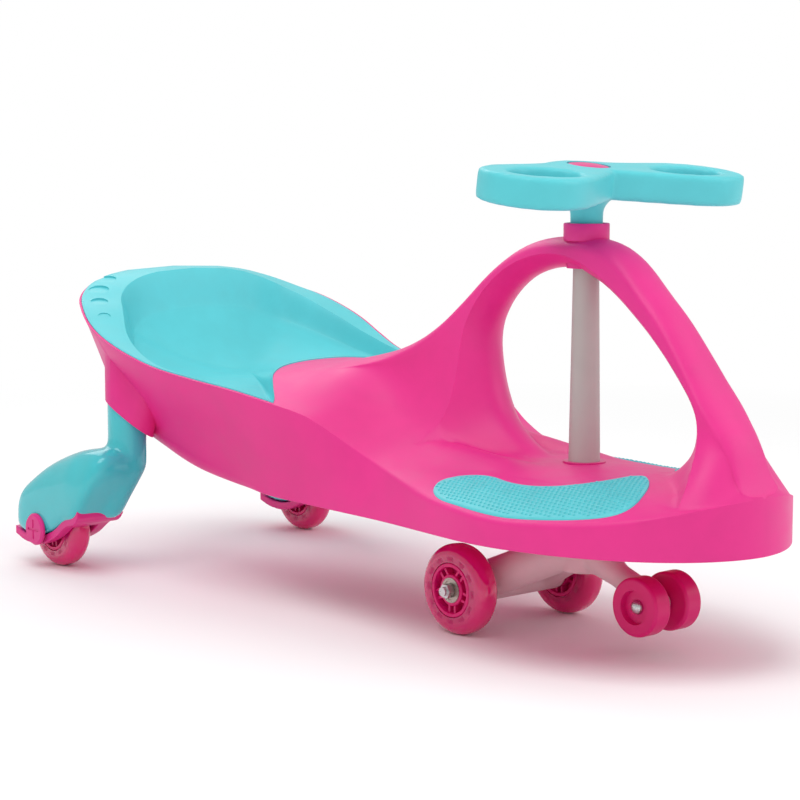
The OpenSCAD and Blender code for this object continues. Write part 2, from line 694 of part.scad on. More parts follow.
// Foot pads: a band round the steering axis, from a fixed inner edge to the sill
pad_from_angle = 14;
pad_to_angle = 125;
pad_steps = 18;
pad_gap = 0.7;
pad_end_shares = [
    [0, 0.25], [0.05, 0.72], [0.12, 0.93], [0.25, 1], [0.75, 1], [0.88, 0.93], [0.95, 0.72], [1, 0.25]
];
function sill_radius(a) = let (
        near = deck_width / 2 - pad_margin,
        far = nose_reach - pad_margin * 2
    ) a < 90 ? near * far / sqrt(pow(near * cos(a), 2) + pow(far * sin(a), 2))
    : near / mix(1, sin(a), 0.55);
pad_ramp_angle = 30;
function pad_outer(a) = min(
    sill_radius(a),
    pad_inner + (sill_radius(90) - pad_inner) * mix(0.55, 1.65, smooth((a - pad_from_angle) / pad_ramp_angle))
);
function pad_ring(u) = let (
        a = mix(pad_from_angle, pad_to_angle, u),
        share = along(pad_end_shares, u),
        mid = (pad_inner + pad_outer(a)) / 2,
        half = (pad_outer(a) - pad_inner) / 2 * share,
        radii = [for (v = [-1, -0.9, 0, 0.9, 1]) mid + half * v],
        spots = [for (r = radii) [r * cos(a), r * sin(a)]]
    ) concat(
        [for (p = spots) [p[0], p[1], deck_z(p[0], p[1]) + pad_gap]],
        [for (i = [len(spots) - 1:-1:0]) let (p = spots[i], edge = i == 0 || i == len(spots) - 1)
            [p[0], p[1], deck_z(p[0], p[1]) + pad_gap + pad_height * (edge ? 0.5 : 1)]]
    );
module foot_pad(side) {
    color(turquoise) at_axis() on_side(side)
        skin([for (i = [0:pad_steps]) pad_ring(i / pad_steps)]);
}

module lower_bush() {
    color(pink) at_axis() difference() {
        union() {
            translate([0, 0, deck_top - bush_length])
                cylinder(d = bush_d, h = bush_length);
            translate([0, 0, deck_top - spotface])
                cylinder(d = bush_flange_d, h = bush_flange_h);
        }
        cylinder(d = column_d + 2 * running_gap, h = arch_top);
    }
}
module steering_collar() {
    color(pink) at_axis() difference() {
        union() {
            translate([0, 0, arch_top - arch_depth])
                cylinder(d = collar_spigot_d, h = arch_depth);
            translate([0, 0, arch_top - spotface])
                cylinder(d = collar_d, h = spotface + collar_rise);
        }
        cylinder(d = collar_bore, h = arch_top + 2 * collar_rise);
    }
}

// Rear legs

pod_top_curve = [for (p = pod_top_shares) [p[0] * pod_reach, p[1] * pod_rise]];
pod_foot_curve = [for (p = pod_foot_shares) [p[0] * pod_reach, p[1] * pod_rise]];
pod_tail = pod_top_curve[0][0];
pod_front = pod_top_curve[len(pod_top_curve) - 1][0];
pod_waist = (pod_tail + pod_front) / 2;
function pod_places(s) = [
    for (i = [0:pod_steps])
        mix(pod_waist, mix(pod_tail, pod_front, (1 - cos(i * 180 / pod_steps)) / 2), (1 + s) / 2)
];
function pod_ring(v, s) = let (
        full = pod_places(1),
        xs = pod_places(s),
        y = v * pod_width / 2,
        n = len(xs) - 1
    ) concat(
        [for (i = [0:n]) [xs[i], y, along(pod_foot_curve, xs[i])]],
        [for (i = [n:-1:0]) [xs[i], y, along(pod_foot_curve, xs[i])
            + (along(pod_top_curve, full[i]) - along(pod_foot_curve, full[i])) * s]]
    );
module wheel_well() {
    rotate([-90, 0, 0]) cylinder(r = wheel_r + well_gap, h = wheel_w + 2 * well_gap, center = true);
}
// Round post; its foot leans outwards into the pod
module leg_post() {
    foot = wheel_r + pod_rise * 0.78;
    translate([-post_back, post_out, foot]) cylinder(d = post_d, h = post_top - foot);
    hull() {
        translate([-post_back, post_out, foot - overrun])
            cylinder(d = post_d - overrun, h = 2 * overrun, $fn = 32);
        translate([-post_back - post_d * 0.4, rear_half_track - pod_width * 0.2, foot - pod_rise * 0.3])
            cylinder(d = post_d * 0.6, h = overrun, $fn = 32);
    }
}
module rear_leg(side) {
    color(turquoise) at_axis() on_side(side) difference() {
        $fn = 40;
        union() {
            translate([-rear_axle_back, rear_half_track, wheel_r])
                skin([for (p = pod_side_shares) pod_ring(p[0], p[1])]);
            leg_post();
        }
        translate([-rear_axle_back, rear_half_track, wheel_r]) {
            wheel_well();
            rotate([-90, 0, 0]) cylinder(d = axle_d + 2 * seat_gap, h = pod_width * 2, center = true);
        }
        translate([-post_back, post_out - screw_in, post_top - screw_d * 4])
            cylinder(d = screw_d + 2 * seat_gap, h = screw_d * 5);
    }
}
module leg_screws() {
    color(steel) at_axis() for (s = sides) on_side(s) translate([-post_back, post_out - screw_in, 0]) {
        translate([0, 0, post_top - screw_d * 4 + seat_gap])
            cylinder(d = screw_d, h = screw_d * 4 + socket_roof + seat_gap);
        translate([0, 0, post_top + socket_roof + 2 * seat_gap])
            cylinder(d = screw_head_d, h = screw_head_h);
    }
}
// Cover that closes the pod from below, with a slot for the wheel
module wheel_cover(side) {
    steps = pod_steps * 2;
    end = cover_end_share * pod_front;
    xs = [for (i = [0:steps]) mix(pod_tail * 0.97, end, i / steps)];
    color(pink) at_axis() on_side(side) translate([-rear_axle_back, rear_half_track, wheel_r])
        difference() {
            rotate([90, 0, 0]) linear_extrude(height = pod_width * 0.9, center = true) polygon(concat(
                [for (x = xs) [x, along(pod_foot_curve, x) - cover_gap]],
                [for (i = [steps:-1:0]) [xs[i], along(pod_foot_curve, xs[i]) - cover_depth]]
            ));
            wheel_well();
            rotate([-90, 0, 0]) cylinder(d = axle_d + 2 * seat_gap, h = pod_width * 2, center = true);
        }
}
module rear_axle(side) {
    thick = well_gap - side_gap - seat_gap;
    color(steel) at_corner(str("rear_", side)) {
        translate([0, 0, -pod_width / 2]) cylinder(d = axle_d, h = pod_width);
        // Shoulders on both sides of the wheel
        for (v = [-1, 1]) translate([0, 0, v * (wheel_w / 2 + side_gap + thick / 2)])
            cylinder(d = inner_race_d, h = thick, center = true);
    }
}
module axle_cap(side) {
    color(pink) at_corner(str("rear_", side)) translate([0, 0, pod_width / 2 + seat_gap]) difference() {
        union() {
            cylinder(d = cap_round_d, h = cap_thick * 0.5);
            translate([0, 0, cap_thick * 0.5])
                cylinder(d1 = cap_round_d, d2 = cap_round_d - cap_thick, h = cap_thick * 0.5);
        }
        for (a = [0, 90])
            rotate([0, 0, a]) translate([0, 0, cap_thick]) cube(
                [cap_round_d * 0.62, cap_mark_w, 2 * cap_mark_depth], center = true);
    }
}

// Road wheels, each drawn about its axle with the outer face up

tyre_in_d = core_ring_d + 2 * seat_gap;
module tyre(corner) {
    color(tyre_pink) at_corner(corner) difference() {
        rotate_extrude() difference() {
            union() {
                translate([0, -wheel_w / 2]) square([wheel_r - tread_round, wheel_w]);
                for (v = [-1, 1])
                    translate([wheel_r - tread_round, v * (wheel_w / 2 - tread_round)])
                        circle(r = tread_round);
                translate([0, -wheel_w / 2 + tread_round]) square([wheel_r, wheel_w - 2 * tread_round]);
            }
            translate([0, -wheel_w]) square([tyre_in_d / 2, wheel_w * 2]);
        }
        for (i = [1:lugs]) rotate([0, 0, i * 360 / lugs]) translate([core_ring_d / 2, 0, 0])
            cube([2 * (lug_h + seat_gap), lug_w + 2 * seat_gap, wheel_w * 2], center = true);
    }
}
module wheel_core(corner) {
    core_w = wheel_w - 2 * seat_gap;
    ring_in = core_ring_d - 2 * core_ring_wall;
    boss_d = bearing_d + 2 * core_boss_wall;
    color(tyre_pink) at_corner(corner) difference() {
        union() {
            translate([0, 0, -core_w / 2]) tube(core_ring_d, ring_in, core_w);
            translate([0, 0, -core_w / 2]) cylinder(d = boss_d, h = core_w);
            translate([0, 0, -core_web / 2]) cylinder(d = core_ring_d - core_ring_wall, h = core_web);
            // Lugs that key the tyre to the core
            for (i = [1:lugs]) rotate([0, 0, i * 360 / lugs])
                translate([(core_ring_d + lug_h - overrun) / 2, 0, 0])
                    cube([lug_h + overrun, lug_w, core_w], center = true);
            // Spokes in pairs
            for (i = [1:spokes], v = [-1, 1]) rotate([0, 0, i * 360 / spokes])
                translate([(core_ring_d + bearing_d) / 4, v * spoke_pair / 2, 0])
                    cube([(ring_in - bearing_d) / 2, spoke_w, wheel_w * 0.8], center = true);
        }
        cylinder(d = bearing_d, h = wheel_w * 2, center = true);
        // Openings between the pairs
        for (i = [1:spokes]) rotate([0, 0, (i + 0.5) * 360 / spokes])
            translate([(ring_in + boss_d) / 4, 0, 0])
                cylinder(d = (ring_in - boss_d) / 2 - 2 * seat_gap, h = wheel_w, center = true);
    }
}
module bearings(corner) {
    color(steel) at_corner(corner) for (v = [-1, 1])
        translate([0, 0, v * (wheel_w / 2 - bearing_w / 2)]) rotate_extrude() difference() {
            translate([axle_d / 2 + running_gap, -bearing_w / 2])
                square([bearing_d / 2 - axle_d / 2 - 2 * running_gap, bearing_w]);
            for (w = [-1, 1]) translate([inner_race_d / 2, w * bearing_w / 2 - bearing_recess])
                square([(outer_race_d - inner_race_d) / 2, 2 * bearing_recess]);
        }
}
module bearing_spacer(corner) {
    color(steel) at_corner(corner)
        translate([0, 0, -wheel_w / 2 + bearing_w])
            tube(bearing_d - 2 * running_gap, axle_d + 2 * running_gap + overrun, wheel_w - 2 * bearing_w);
}

// Steering column and wheel

column_low = truck_floor;
column_high = rim_height;
module steering_column() {
    taper_low = deck_top + bush_flange_h;
    taper_high = sleeve_bottom - seat_gap;
    inner = column_top_d / 2 - column_wall;
    color(warm_grey) at_axis() difference() {
        rotate_extrude() polygon([
            [inner, column_low], [column_d / 2, column_low], [column_d / 2, taper_low],
            [column_top_d / 2, taper_high], [column_top_d / 2, column_high], [inner, column_high]
        ]);
        pin_hole();
    }
}
pin_z = (truck_floor + truck_top) / 2 + pin_d;
module pin_hole() {
    translate([0, 0, pin_z]) rotate([-90, 0, 0])
        cylinder(d = pin_d + 2 * seat_gap, h = truck_socket_d * 2, center = true);
}

loop_half = (wheel_span / 2 - hub_d * 0.45) / 2;
loop_out = wheel_span / 2 - loop_half;
loop_steps = 28;
loop_sides = 10;
function loop_path(a) = [
    loop_sweep + (loop_depth - rim_d) / 2 * cos(a),
    loop_out + (loop_half - rim_d / 2) * sin(a)
];
module grip_loop() {
    rings = [for (i = [0:loop_steps - 1]) let (
            a = i * 360 / loop_steps,
            p = loop_path(a),
            t = loop_path(a + 1) - loop_path(a - 1),
            n = [t[1], -t[0]] / norm(t)
        ) [for (j = [0:loop_sides - 1]) let (b = j * 360 / loop_sides)
            concat(p + n * rim_d / 2 * cos(b), [rim_d / 2 * sin(b)])]
    ];
    m = loop_sides;
    polyhedron([for (r = rings, p = r) p], [
        for (i = [0:loop_steps - 1], j = [0:m - 1], h = [0, 1])
            let (k = (i + 1) % loop_steps, l = (j + 1) % m)
                h == 0 ? [i * m + j, i * m + l, k * m + l] : [i * m + j, k * m + l, k * m + j]
    ]);
}
module steering_wheel() {
    sleeve_bore = column_top_d + 2 * seat_gap;
    color(turquoise) at_axis() difference() {
        union() {
            translate([0, 0, rim_height]) rotate([0, loop_tilt, 0])
                for (s = sides) on_side(s) grip_loop();
            translate([0, 0, rim_height - hub_rise / 2]) cylinder(d = hub_d, h = hub_rise);
            // An arm to each loop leaves a notch in front of the hub
            for (s = sides) on_side(s) translate([0, 0, rim_height]) hull() {
                translate([-hub_d * 0.1, 0, 0])
                    cylinder(d = hub_d * 0.7, h = hub_rise * 0.8, center = true, $fn = 32);
                rotate([0, loop_tilt, 0])
                    translate([loop_sweep * 0.7, loop_out - loop_half + rim_d / 2, 0])
                        cylinder(d = rim_d, h = hub_rise * 0.8, center = true, $fn = 24);
            }
            translate([0, 0, sleeve_bottom]) cylinder(d = sleeve_d, h = rim_height - sleeve_bottom);
            translate([0, 0, rim_height - hub_rise])
                cylinder(d1 = sleeve_d, d2 = hub_d * 0.8, h = hub_rise / 2);
        }
        translate([0, 0, sleeve_bottom - overrun])
            cylinder(d = sleeve_bore, h = rim_height + seat_gap - sleeve_bottom + overrun);
        cylinder(d = bolt_d + 2 * seat_gap, h = arch_top * 2);
        translate([0, 0, rim_height + hub_rise / 2 - bolt_head_h])
            cylinder(d = cap_d + 2 * seat_gap, h = bolt_head_h * 2);
    }
}
module steering_bolt() {
    head_z = rim_height + hub_rise / 2 - bolt_head_h;
    color(steel) at_axis() {
        translate([0, 0, rim_height - bolt_d * 4])
            cylinder(d = bolt_d, h = head_z - rim_height + bolt_d * 4);
        translate([0, 0, head_z]) cylinder(d = bolt_head_d, h = bolt_head_h * 0.7, $fn = 6);
    }
}
module steering_cap() {
    low = rim_height + hub_rise / 2 - bolt_head_h;
    color(pink) at_axis() difference() {
        union() {
            translate([0, 0, low]) cylinder(d = cap_d, h = bolt_head_h);
            translate([0, 0, low + bolt_head_h])
                cylinder(d1 = cap_d, d2 = cap_d * 0.82, h = cap_rise);
        }
        translate([0, 0, low - overrun])
            cylinder(d = bolt_head_d + 2 * overrun, h = bolt_head_h * 0.8 + overrun);
    }
}

// Truck: the plastic carriage under the column

truck_socket_d = column_d + 2 * seat_gap + 2 * truck_socket_wall;
arm_end = front_half_track - wheel_w / 2 - side_gap;
small_boss = 2 * (small_half_track - small_w / 2 - side_gap);
knee_x = small_axle_ahead * 0.5;
module truck() {
    color(warm_grey) at_axis() difference() {
        union() {
            translate([0, 0, truck_floor - truck_socket_wall])
                cylinder(d = truck_socket_d, h = truck_top - truck_floor + truck_socket_wall);
            // Arms that carry the road wheels
            for (s = sides) on_side(s) {
                hull() {
                    translate([-truck_arm_r * 0.6, truck_arm_r * 0.4, truck_floor + truck_arm_r * 0.7])
                        sphere(r = truck_arm_r, $fn = 20);
                    translate([-front_axle_back, arm_end - truck_arm_r, wheel_r + truck_arm_r * 0.2])
                        sphere(r = truck_arm_r, $fn = 20);
                }
                translate([-front_axle_back, 0, wheel_r]) rotate([-90, 0, 0]) {
                    cylinder(d = truck_boss_d, h = arm_end - axle_shoulder);
                    cylinder(d = inner_race_d, h = arm_end);
                }
            }
            // Forward arm that carries the anti-tip wheels
            hull() {
                translate([truck_arm_r * 0.5, 0, truck_floor + truck_arm_r * 0.8])
                    sphere(r = truck_arm_r, $fn = 20);
                truck_knee();
            }
            hull() {
                truck_knee();
                at_small_axle()
                    cylinder(d = small_axle_d * 2.6, h = small_boss * 0.7, center = true, $fn = 20);
            }
            at_small_axle() cylinder(d = small_axle_d * 2, h = small_boss, center = true);
        }
        translate([0, 0, truck_floor]) cylinder(d = column_d + 2 * seat_gap, h = truck_top);
        translate([0, 0, truck_top]) cylinder(d = hub_d * 2, h = truck_top);
        for (s = sides) on_side(s)
            translate([-front_axle_back, arm_end - axle_grip, wheel_r]) rotate([-90, 0, 0])
                cylinder(d = axle_d + 2 * seat_gap, h = axle_grip + overrun);
        at_small_axle()
            cylinder(d = small_axle_d + 2 * seat_gap, h = small_half_track * 4, center = true);
        pin_hole();
    }
}
module truck_knee() {
    translate([knee_x, 0, small_axle_up + truck_arm_r]) sphere(r = truck_arm_r * 0.62, $fn = 20);
}
module at_small_axle() {
    translate([small_axle_ahead, 0, small_axle_up]) rotate([-90, 0, 0]) children();
}
module column_pin() {
    color(steel) at_axis() translate([0, 0, pin_z]) rotate([-90, 0, 0])
        cylinder(d = pin_d, h = truck_socket_d, center = true);
}
// Road wheel bolt: grips the truck's arm, carries the wheel and ends in a nut
module front_axle(side) {
    grip = wheel_w / 2 + side_gap + axle_grip - seat_gap;
    face = wheel_w / 2 + side_gap;
    color(steel) at_corner(str("front_", side)) {
        translate([0, 0, -grip]) cylinder(d = axle_d, h = grip + face + nut_h + axle_tip);
        translate([0, 0, face]) cylinder(d = nut_d, h = nut_h, $fn = 6);
    }
}

// Anti-tip wheels

module small_wheel(side) {
    r = small_d / 2;
    c = small_tread_round;
    bore = small_axle_d / 2 + running_gap;
    color(tyre_pink) at_axis() on_side(side) at_small_axle() translate([0, 0, small_half_track])
        rotate_extrude() polygon(concat(
            [[bore, -small_w / 2]],
            [for (a = [0:15:90]) [r - c + c * sin(a), -small_w / 2 + c - c * cos(a)]],
            [for (a = [90:-15:0]) [r - c + c * sin(a), small_w / 2 - c + c * cos(a)]],
            [[small_hub_d / 2 + overrun, small_w / 2], [small_hub_d / 2, small_w / 2 - small_recess],
             [bore, small_w / 2 - small_recess]]
        ));
}
small_pin_end = small_half_track + small_w / 2 - small_recess + side_gap;
module small_axle() {
    color(steel) at_axis() at_small_axle() cylinder(d = small_axle_d, h = 2 * small_pin_end, center = true);
}
module small_axle_caps() {
    color(steel) at_axis() for (s = sides) on_side(s)
        at_small_axle() translate([0, 0, small_pin_end]) rotate_extrude() polygon(concat(
            [[0, 0], [push_cap_d / 2, 0]],
            [for (a = [15:15:75]) [push_cap_d / 2 * cos(a), push_cap_h * sin(a)]],
            [[0, push_cap_h]]
        ));
}

body_shell();
seat();
foot_pad("left");  // foot_pad_left
foot_pad("right");  // foot_pad_right
steering_collar();
lower_bush();
rear_leg("left");  // rear_leg_left
rear_leg("right");  // rear_leg_right
leg_screws();
wheel_cover("left");  // wheel_cover_left
wheel_cover("right");  // wheel_cover_right
rear_axle("left");  // rear_axle_left
rear_axle("right");  // rear_axle_right
axle_cap("left");  // axle_cap_left
axle_cap("right");  // axle_cap_right
steering_wheel();
steering_cap();
steering_bolt();
steering_column();
truck();
column_pin();
front_axle("left");  // front_axle_left
front_axle("right");  // front_axle_right
small_axle();
small_axle_caps();
small_wheel("left");  // small_wheel_left
small_wheel("right");  // small_wheel_right
tyre("front_left");  // tyre_front_left
tyre("front_right");  // tyre_front_right
tyre("rear_left");  // tyre_rear_left
tyre("rear_right");  // tyre_rear_right
wheel_core("front_left");  // wheel_core_front_left
wheel_core("front_right");  // wheel_core_front_right
wheel_core("rear_left");  // wheel_core_rear_left
wheel_core("rear_right");  // wheel_core_rear_right
bearings("front_left");  // bearings_front_left
bearings("front_right");  // bearings_front_right
bearings("rear_left");  // bearings_rear_left
bearings("rear_right");  // bearings_rear_right
bearing_spacer("front_left");  // bearing_spacer_front_left
bearing_spacer("front_right");  // bearing_spacer_front_right
bearing_spacer("rear_left");  // bearing_spacer_rear_left
bearing_spacer("rear_right");  // bearing_spacer_rear_right
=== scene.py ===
"""Looks of the wiggle car, laid out as an add-on and run as a script."""

import math

import bmesh
import bpy
from mathutils import Matrix, Vector


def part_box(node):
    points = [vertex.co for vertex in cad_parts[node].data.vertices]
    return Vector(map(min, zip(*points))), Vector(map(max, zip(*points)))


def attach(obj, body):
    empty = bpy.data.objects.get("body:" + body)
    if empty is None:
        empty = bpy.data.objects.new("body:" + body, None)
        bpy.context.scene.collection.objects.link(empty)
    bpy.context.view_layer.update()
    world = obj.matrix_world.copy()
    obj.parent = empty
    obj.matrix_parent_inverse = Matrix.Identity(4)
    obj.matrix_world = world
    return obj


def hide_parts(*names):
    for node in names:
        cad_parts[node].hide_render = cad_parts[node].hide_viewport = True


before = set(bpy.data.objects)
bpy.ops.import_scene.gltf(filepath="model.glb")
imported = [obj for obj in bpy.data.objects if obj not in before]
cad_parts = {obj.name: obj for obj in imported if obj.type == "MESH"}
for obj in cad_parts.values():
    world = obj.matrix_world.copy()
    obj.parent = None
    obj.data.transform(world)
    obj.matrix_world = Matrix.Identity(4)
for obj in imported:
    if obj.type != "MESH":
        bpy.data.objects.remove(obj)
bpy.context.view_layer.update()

bl_info = {
    "name": "Wiggle car looks",
    "version": (1, 0, 0),
    "blender": (4, 5, 0),
    "location": "View3D > Sidebar > Wiggle car",
    "description": "Builds the visible pieces, finishes and stage of a wiggle car",
    "category": "Object",
}

MM = 0.001
SIDES = {"left": 1, "right": -1}
CORNERS = ("front_left", "front_right", "rear_left", "rear_right")
UP, ASIDE = (0, 0, 1), (0, 1, 0)
# Distance in metres under which points of a mesh are one
MERGE = 1e-6
BEARING_COLOUR = (0.46, 0.41, 0.36)


def middle(node):
    """Middle of a CAD node's box, in millimetres."""
    low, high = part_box(node)
    return [(a + b) / 2 / MM for a, b in zip(low, high)]


AXIS_X = middle("steering_column")[0]

# Sizes in millimetres, measured from the steering axis as in the solid model
NOSE, STERN = 197, 606
DECK_HALF, SEAT_HALF = 137, 168
SKIRT, DECK, ARCH, STERN_TOP = 100, 154, 347, 286
ARCH_HALF, WALL, CROWN, HULL_ROUND = 23, 4, 12, 20
WINDOW_LENGTH, WINDOW_REAR, ARCH_DEPTH = 247, 113, 27
SEAT_FLOOR, SEAT_WALL, SEAT_BEAD, SEAT_GAP = 195, 4, 8, 0.3
POST_BACK, POST_OUT, POST_D, POST_TOP = 500, 130, 37, 188
REAR_BACK, REAR_TRACK, FRONT_BACK, FRONT_TRACK = 579, 157, 84, 66
WHEEL_R, WHEEL_W = 40, 24
POD_WIDTH, POD_RISE, SOLE_DROP = 60, 92, 1.4
DECK_RISE, STERN_RISE, ARCH_RISE = DECK - SKIRT, STERN_TOP - SKIRT, ARCH - SKIRT

# Shapes along the car as shares: -1 is the stern, 0 the steering axis, 1 the nose
RIM_WIDTH_SHARES = (
    (-1.000, 0, 0.27), (-0.987, 0, 0.51), (-0.974, 0, 0.65), (-0.957, 0, 0.75), (-0.932, 0, 0.84),
    (-0.891, 0, 0.925), (-0.850, 0, 0.98), (-0.809, 0, 1.00), (-0.759, 0, 0.98), (-0.693, 0, 0.93),
    (-0.620, 0, 0.875), (-0.528, 0.51, 0.415), (-0.439, 0.97, 0), (-0.376, 0.91, 0),
    (-0.342, 0.865, 0), (-0.300, 0.82, 0), (-0.246, 0.80, 0), (-0.168, 0.862, 0), (-0.097, 0.94, 0),
    (-0.033, 0.99, 0), (0, 1, 0),
)
FOOT_WIDTH_SHARES = (
    (-1.000, 0, 0.22), (-0.990, 0, 0.38), (-0.974, 0, 0.50), (-0.950, 0, 0.59), (-0.924, 0, 0.64),
    (-0.891, 0, 0.655), (-0.825, 0, 0.645), (-0.693, 0, 0.61), (-0.605, 0, 0.605),
    (-0.485, 0.815, 0), (-0.345, 0.85, 0), (-0.216, 0.885, 0), (-0.109, 0.945, 0),
    (-0.033, 0.99, 0), (0, 1, 0),
)
RIM_RISE_SHARES = (
    (-1.000, 0, 1.00), (-0.987, 0, 0.973), (-0.974, 0, 0.941), (-0.957, 0, 0.909),
    (-0.932, 0, 0.871), (-0.891, 0, 0.826), (-0.850, 0, 0.773), (-0.809, 0, 0.72),
    (-0.759, 0, 0.66), (-0.693, 0, 0.60), (-0.620, 0, 0.565), (-0.528, 0, 0.533),
    (-0.439, 0, 0.489), (-0.376, 0, 0.446), (-0.342, 0, 0.395), (-0.300, 0.56, 0.165),
    (-0.246, 0.89, 0), (-0.168, 0.69, 0), (-0.097, 0.555, 0), (-0.033, 0.49, 0), (0.056, 0.435, 0),
    (0.203, 0.417, 0), (0.487, 0.48, 0), (0.690, 0.575, 0), (0.840, 0.69, 0), (0.940, 0.80, 0),
    (1.000, 0.87, 0),
)
DECK_RISE_SHARES = (
    (-1.000, 0, 1.00), (-0.891, 0, 0.84), (-0.809, 0, 0.75), (-0.693, 0, 0.62), (-0.569, 0, 0.602),
    (-0.495, 0, 0.575), (-0.412, 0, 0.522), (-0.330, 0, 0.43), (-0.262, 0.62, 0.18),
    (-0.203, 1.11, 0), (-0.149, 1.04, 0), (-0.094, 1.00, 0), (-0.033, 1.00, 0), (0.488, 1.00, 0),
    (0.732, 0.99, 0), (0.878, 0.97, 0), (1.000, 0.92, 0),
)
CREST_SHARES = (
    (-1.000, 0, 1.01), (-0.891, 0, 0.85), (-0.809, 0, 0.755), (-0.693, 0, 0.64), (-0.569, 0, 0.632),
    (-0.487, 0, 0.652), (-0.399, 0.27, 0.352), (-0.348, 0.572, 0), (-0.302, 0.620, 0),
    (-0.259, 0.685, 0), (-0.216, 0.768, 0), (-0.163, 0.876, 0), (-0.112, 0.952, 0),
    (-0.066, 0.988, 0), (0, 1.00, 0), (0.091, 0.994, 0), (0.193, 0.972, 0), (0.289, 0.926, 0),
    (0.406, 0.838, 0), (0.518, 0.751, 0), (0.629, 0.643, 0), (0.736, 0.531, 0), (0.817, 0.451, 0),
    (0.898, 0.362, 0), (0.957, 0.248, 0), (0.985, 0.205, 0), (0.995, 0.195, 0), (1.000, 0.19, 0),
)
CREST_WIDTH_SHARES = (
    (-1.000, 3.4), (-0.569, 3.1), (-0.487, 2.5), (-0.399, 1.75), (-0.330, 1.38), (-0.248, 1.14),
    (-0.165, 1.02), (0, 1.00), (0.244, 0.92), (0.488, 0.92), (0.683, 1.04), (0.760, 1.13),
    (0.848, 1.04), (0.900, 0.96), (1.000, 1.05),
)
FLANK_SHARES = (
    (-1.000, 0.97), (-0.569, 0.97), (-0.330, 0.95), (-0.248, 0.86), (-0.165, 0.72), (-0.083, 0.52),
    (0, 0.44), (0.293, 0.46), (0.537, 0.52), (0.732, 0.64), (0.854, 0.85), (1.000, 0.96),
)
KEEL_SHARES = (
    (-1.000, 0.975), (-0.993, 0.87), (-0.983, 0.75), (-0.970, 0.62), (-0.949, 0.47),
    (-0.924, 0.345), (-0.891, 0.27), (-0.842, 0.185), (-0.792, 0.12), (-0.743, 0.063),
    (-0.693, 0.025), (-0.627, 0.003), (-0.569, 0), (0, 0), (1.000, 0),
)
CHINE_SHARES = (
    (-1.000, 0.05), (-0.950, 0.7), (-0.891, 1), (-0.693, 1), (-0.569, 0.5), (-0.485, 0.12),
    (0, 0.1), (1.000, 0.1),
)
WINDOW_SHARES = (
    (0, 0.52), (0.045, 0.745), (0.19, 0.93), (0.385, 1.00), (0.565, 0.925), (0.745, 0.735),
    (0.895, 0.515), (0.995, 0.295), (0.955, 0.105), (0.78, -0.02), (0.36, -0.03), (0.085, 0.18),
)
SEAT_FRONT_SHARES = (
    (-0.569, 0), (-0.571, 0.20), (-0.564, 0.41), (-0.536, 0.60), (-0.490, 0.765), (-0.452, 0.885),
)
SEAT_CORNER_SHARE, SEAT_MIDDLE_SHARE = -0.437, -0.775
# Where a change sets in on the way to the stern, for the toe to the nose, and over what further share
BEAD_RUN, BACK_BEAD_RUN, SWELL_RUN = (0.561, 0.347), (0.75, 0.15), (0.30, 0.16)
LEDGE_RUN, PROUD_RUN, TOE_RUN = (0.66, 0.24), (0.90, 0.08), (0.68, 0.22)
BEAD_BEND, TOE_STRAIGHTNESS = 1.3, 0.85
# Most that the crest, a soft corner and the chine take of what they lie on, and points across a section
CREST_LIMIT, CORNER_LIMIT, CHINE_LIMIT, KEEL_SPOT = 0.75, 0.45, 0.6, 0.6
SIDE_SPOTS, DECK_SPOTS, EDGE_STEPS = (0.35, 0.65), (0, 0.3, 0.5, 0.75), 6
# Sections crowd towards the stern and end just short of the nose
STERN_CROWDING, NOSE_TURN = 1.5, math.radians(88.5)
# Seat: rings over its dished floor and its ledge, the wall between them, the pink edge left round it
FLOOR_SHARES, LEDGE_SHARES = (0.12, 0.25, 0.4, 0.55, 0.7, 0.82, 0.92, 1.0), (0.3, 0.6, 0.85, 0.95)
LEDGE_WIDTH, LEDGE_LIP, LEDGE_FALL = 34, 5, 0.02
SEAT_BACK, SEAT_SIDE, DISH_BEND, BACK_BEND = 40, 3, 1.8, 1.3
WALL_LEAN, WALL_FOOT, WALL_ROUND, WALL_BELLY = 0.3, 2.5, 0.4, 5.6
SEAT_PROUD, STERN_PROUD, EDGE_DROP, RIM_EDGE = 0.7, 1.3, 0.5, 3
# Grip marks on the ledge: place, distance out and radius
GRIPS = ((-520, -141, 6), (-547, -129, 8.5), (-569, -115, 10), (-586, -96, 11))
GRIP_DEPTH, GRIP_TILT, GRIP_SPREAD = 0.8, 0.11, 1.2
POD_TOP_SHARES = (
    (-0.59, 0.20), (-0.565, 0.34), (-0.475, 0.45), (-0.33, 0.54), (0, 0.72), (0.35, 0.85), (0.72, 0.94),
    (1.05, 0.96), (1.235, 0.90),
)
POD_FOOT_SHARES = (
    (-0.59, 0), (-0.33, -0.065), (0, -0.065), (0.33, 0.03), (0.60, 0.15), (0.82, 0.20),
    (1.02, 0.42), (1.235, 0.70),
)
POD_SIDE_SHARES = (
    (-1.00, 0.72, 0.50), (-0.94, 0.84, 0.66), (-0.80, 0.93, 0.82), (-0.5, 0.985, 0.95), (0, 1.00, 1.00),
    (0.5, 0.985, 0.95), (0.80, 0.93, 0.82), (0.94, 0.84, 0.66), (1.00, 0.72, 0.50),
)


# Curves


def mix(a, b, u):
    return a + (b - a) * u


def smooth(u):
    c = min(max(u, 0), 1)
    return c * c * (3 - 2 * c)


def place(share):
    return share * (STERN if share < 0 else NOSE)


def sized(table, base, *scales):
    """A table of shares made into places and sizes along the car."""
    return [(place(k[0]), base + sum(s * v for s, v in zip(scales, k[1:]))) for k in table]


def hermite(p0, p1, m0, m1, u):
    v = 1 - u
    return p0 * (1 + 2 * u) * v * v + m0 * u * v * v + p1 * u * u * (3 - 2 * u) - m1 * u * u * v


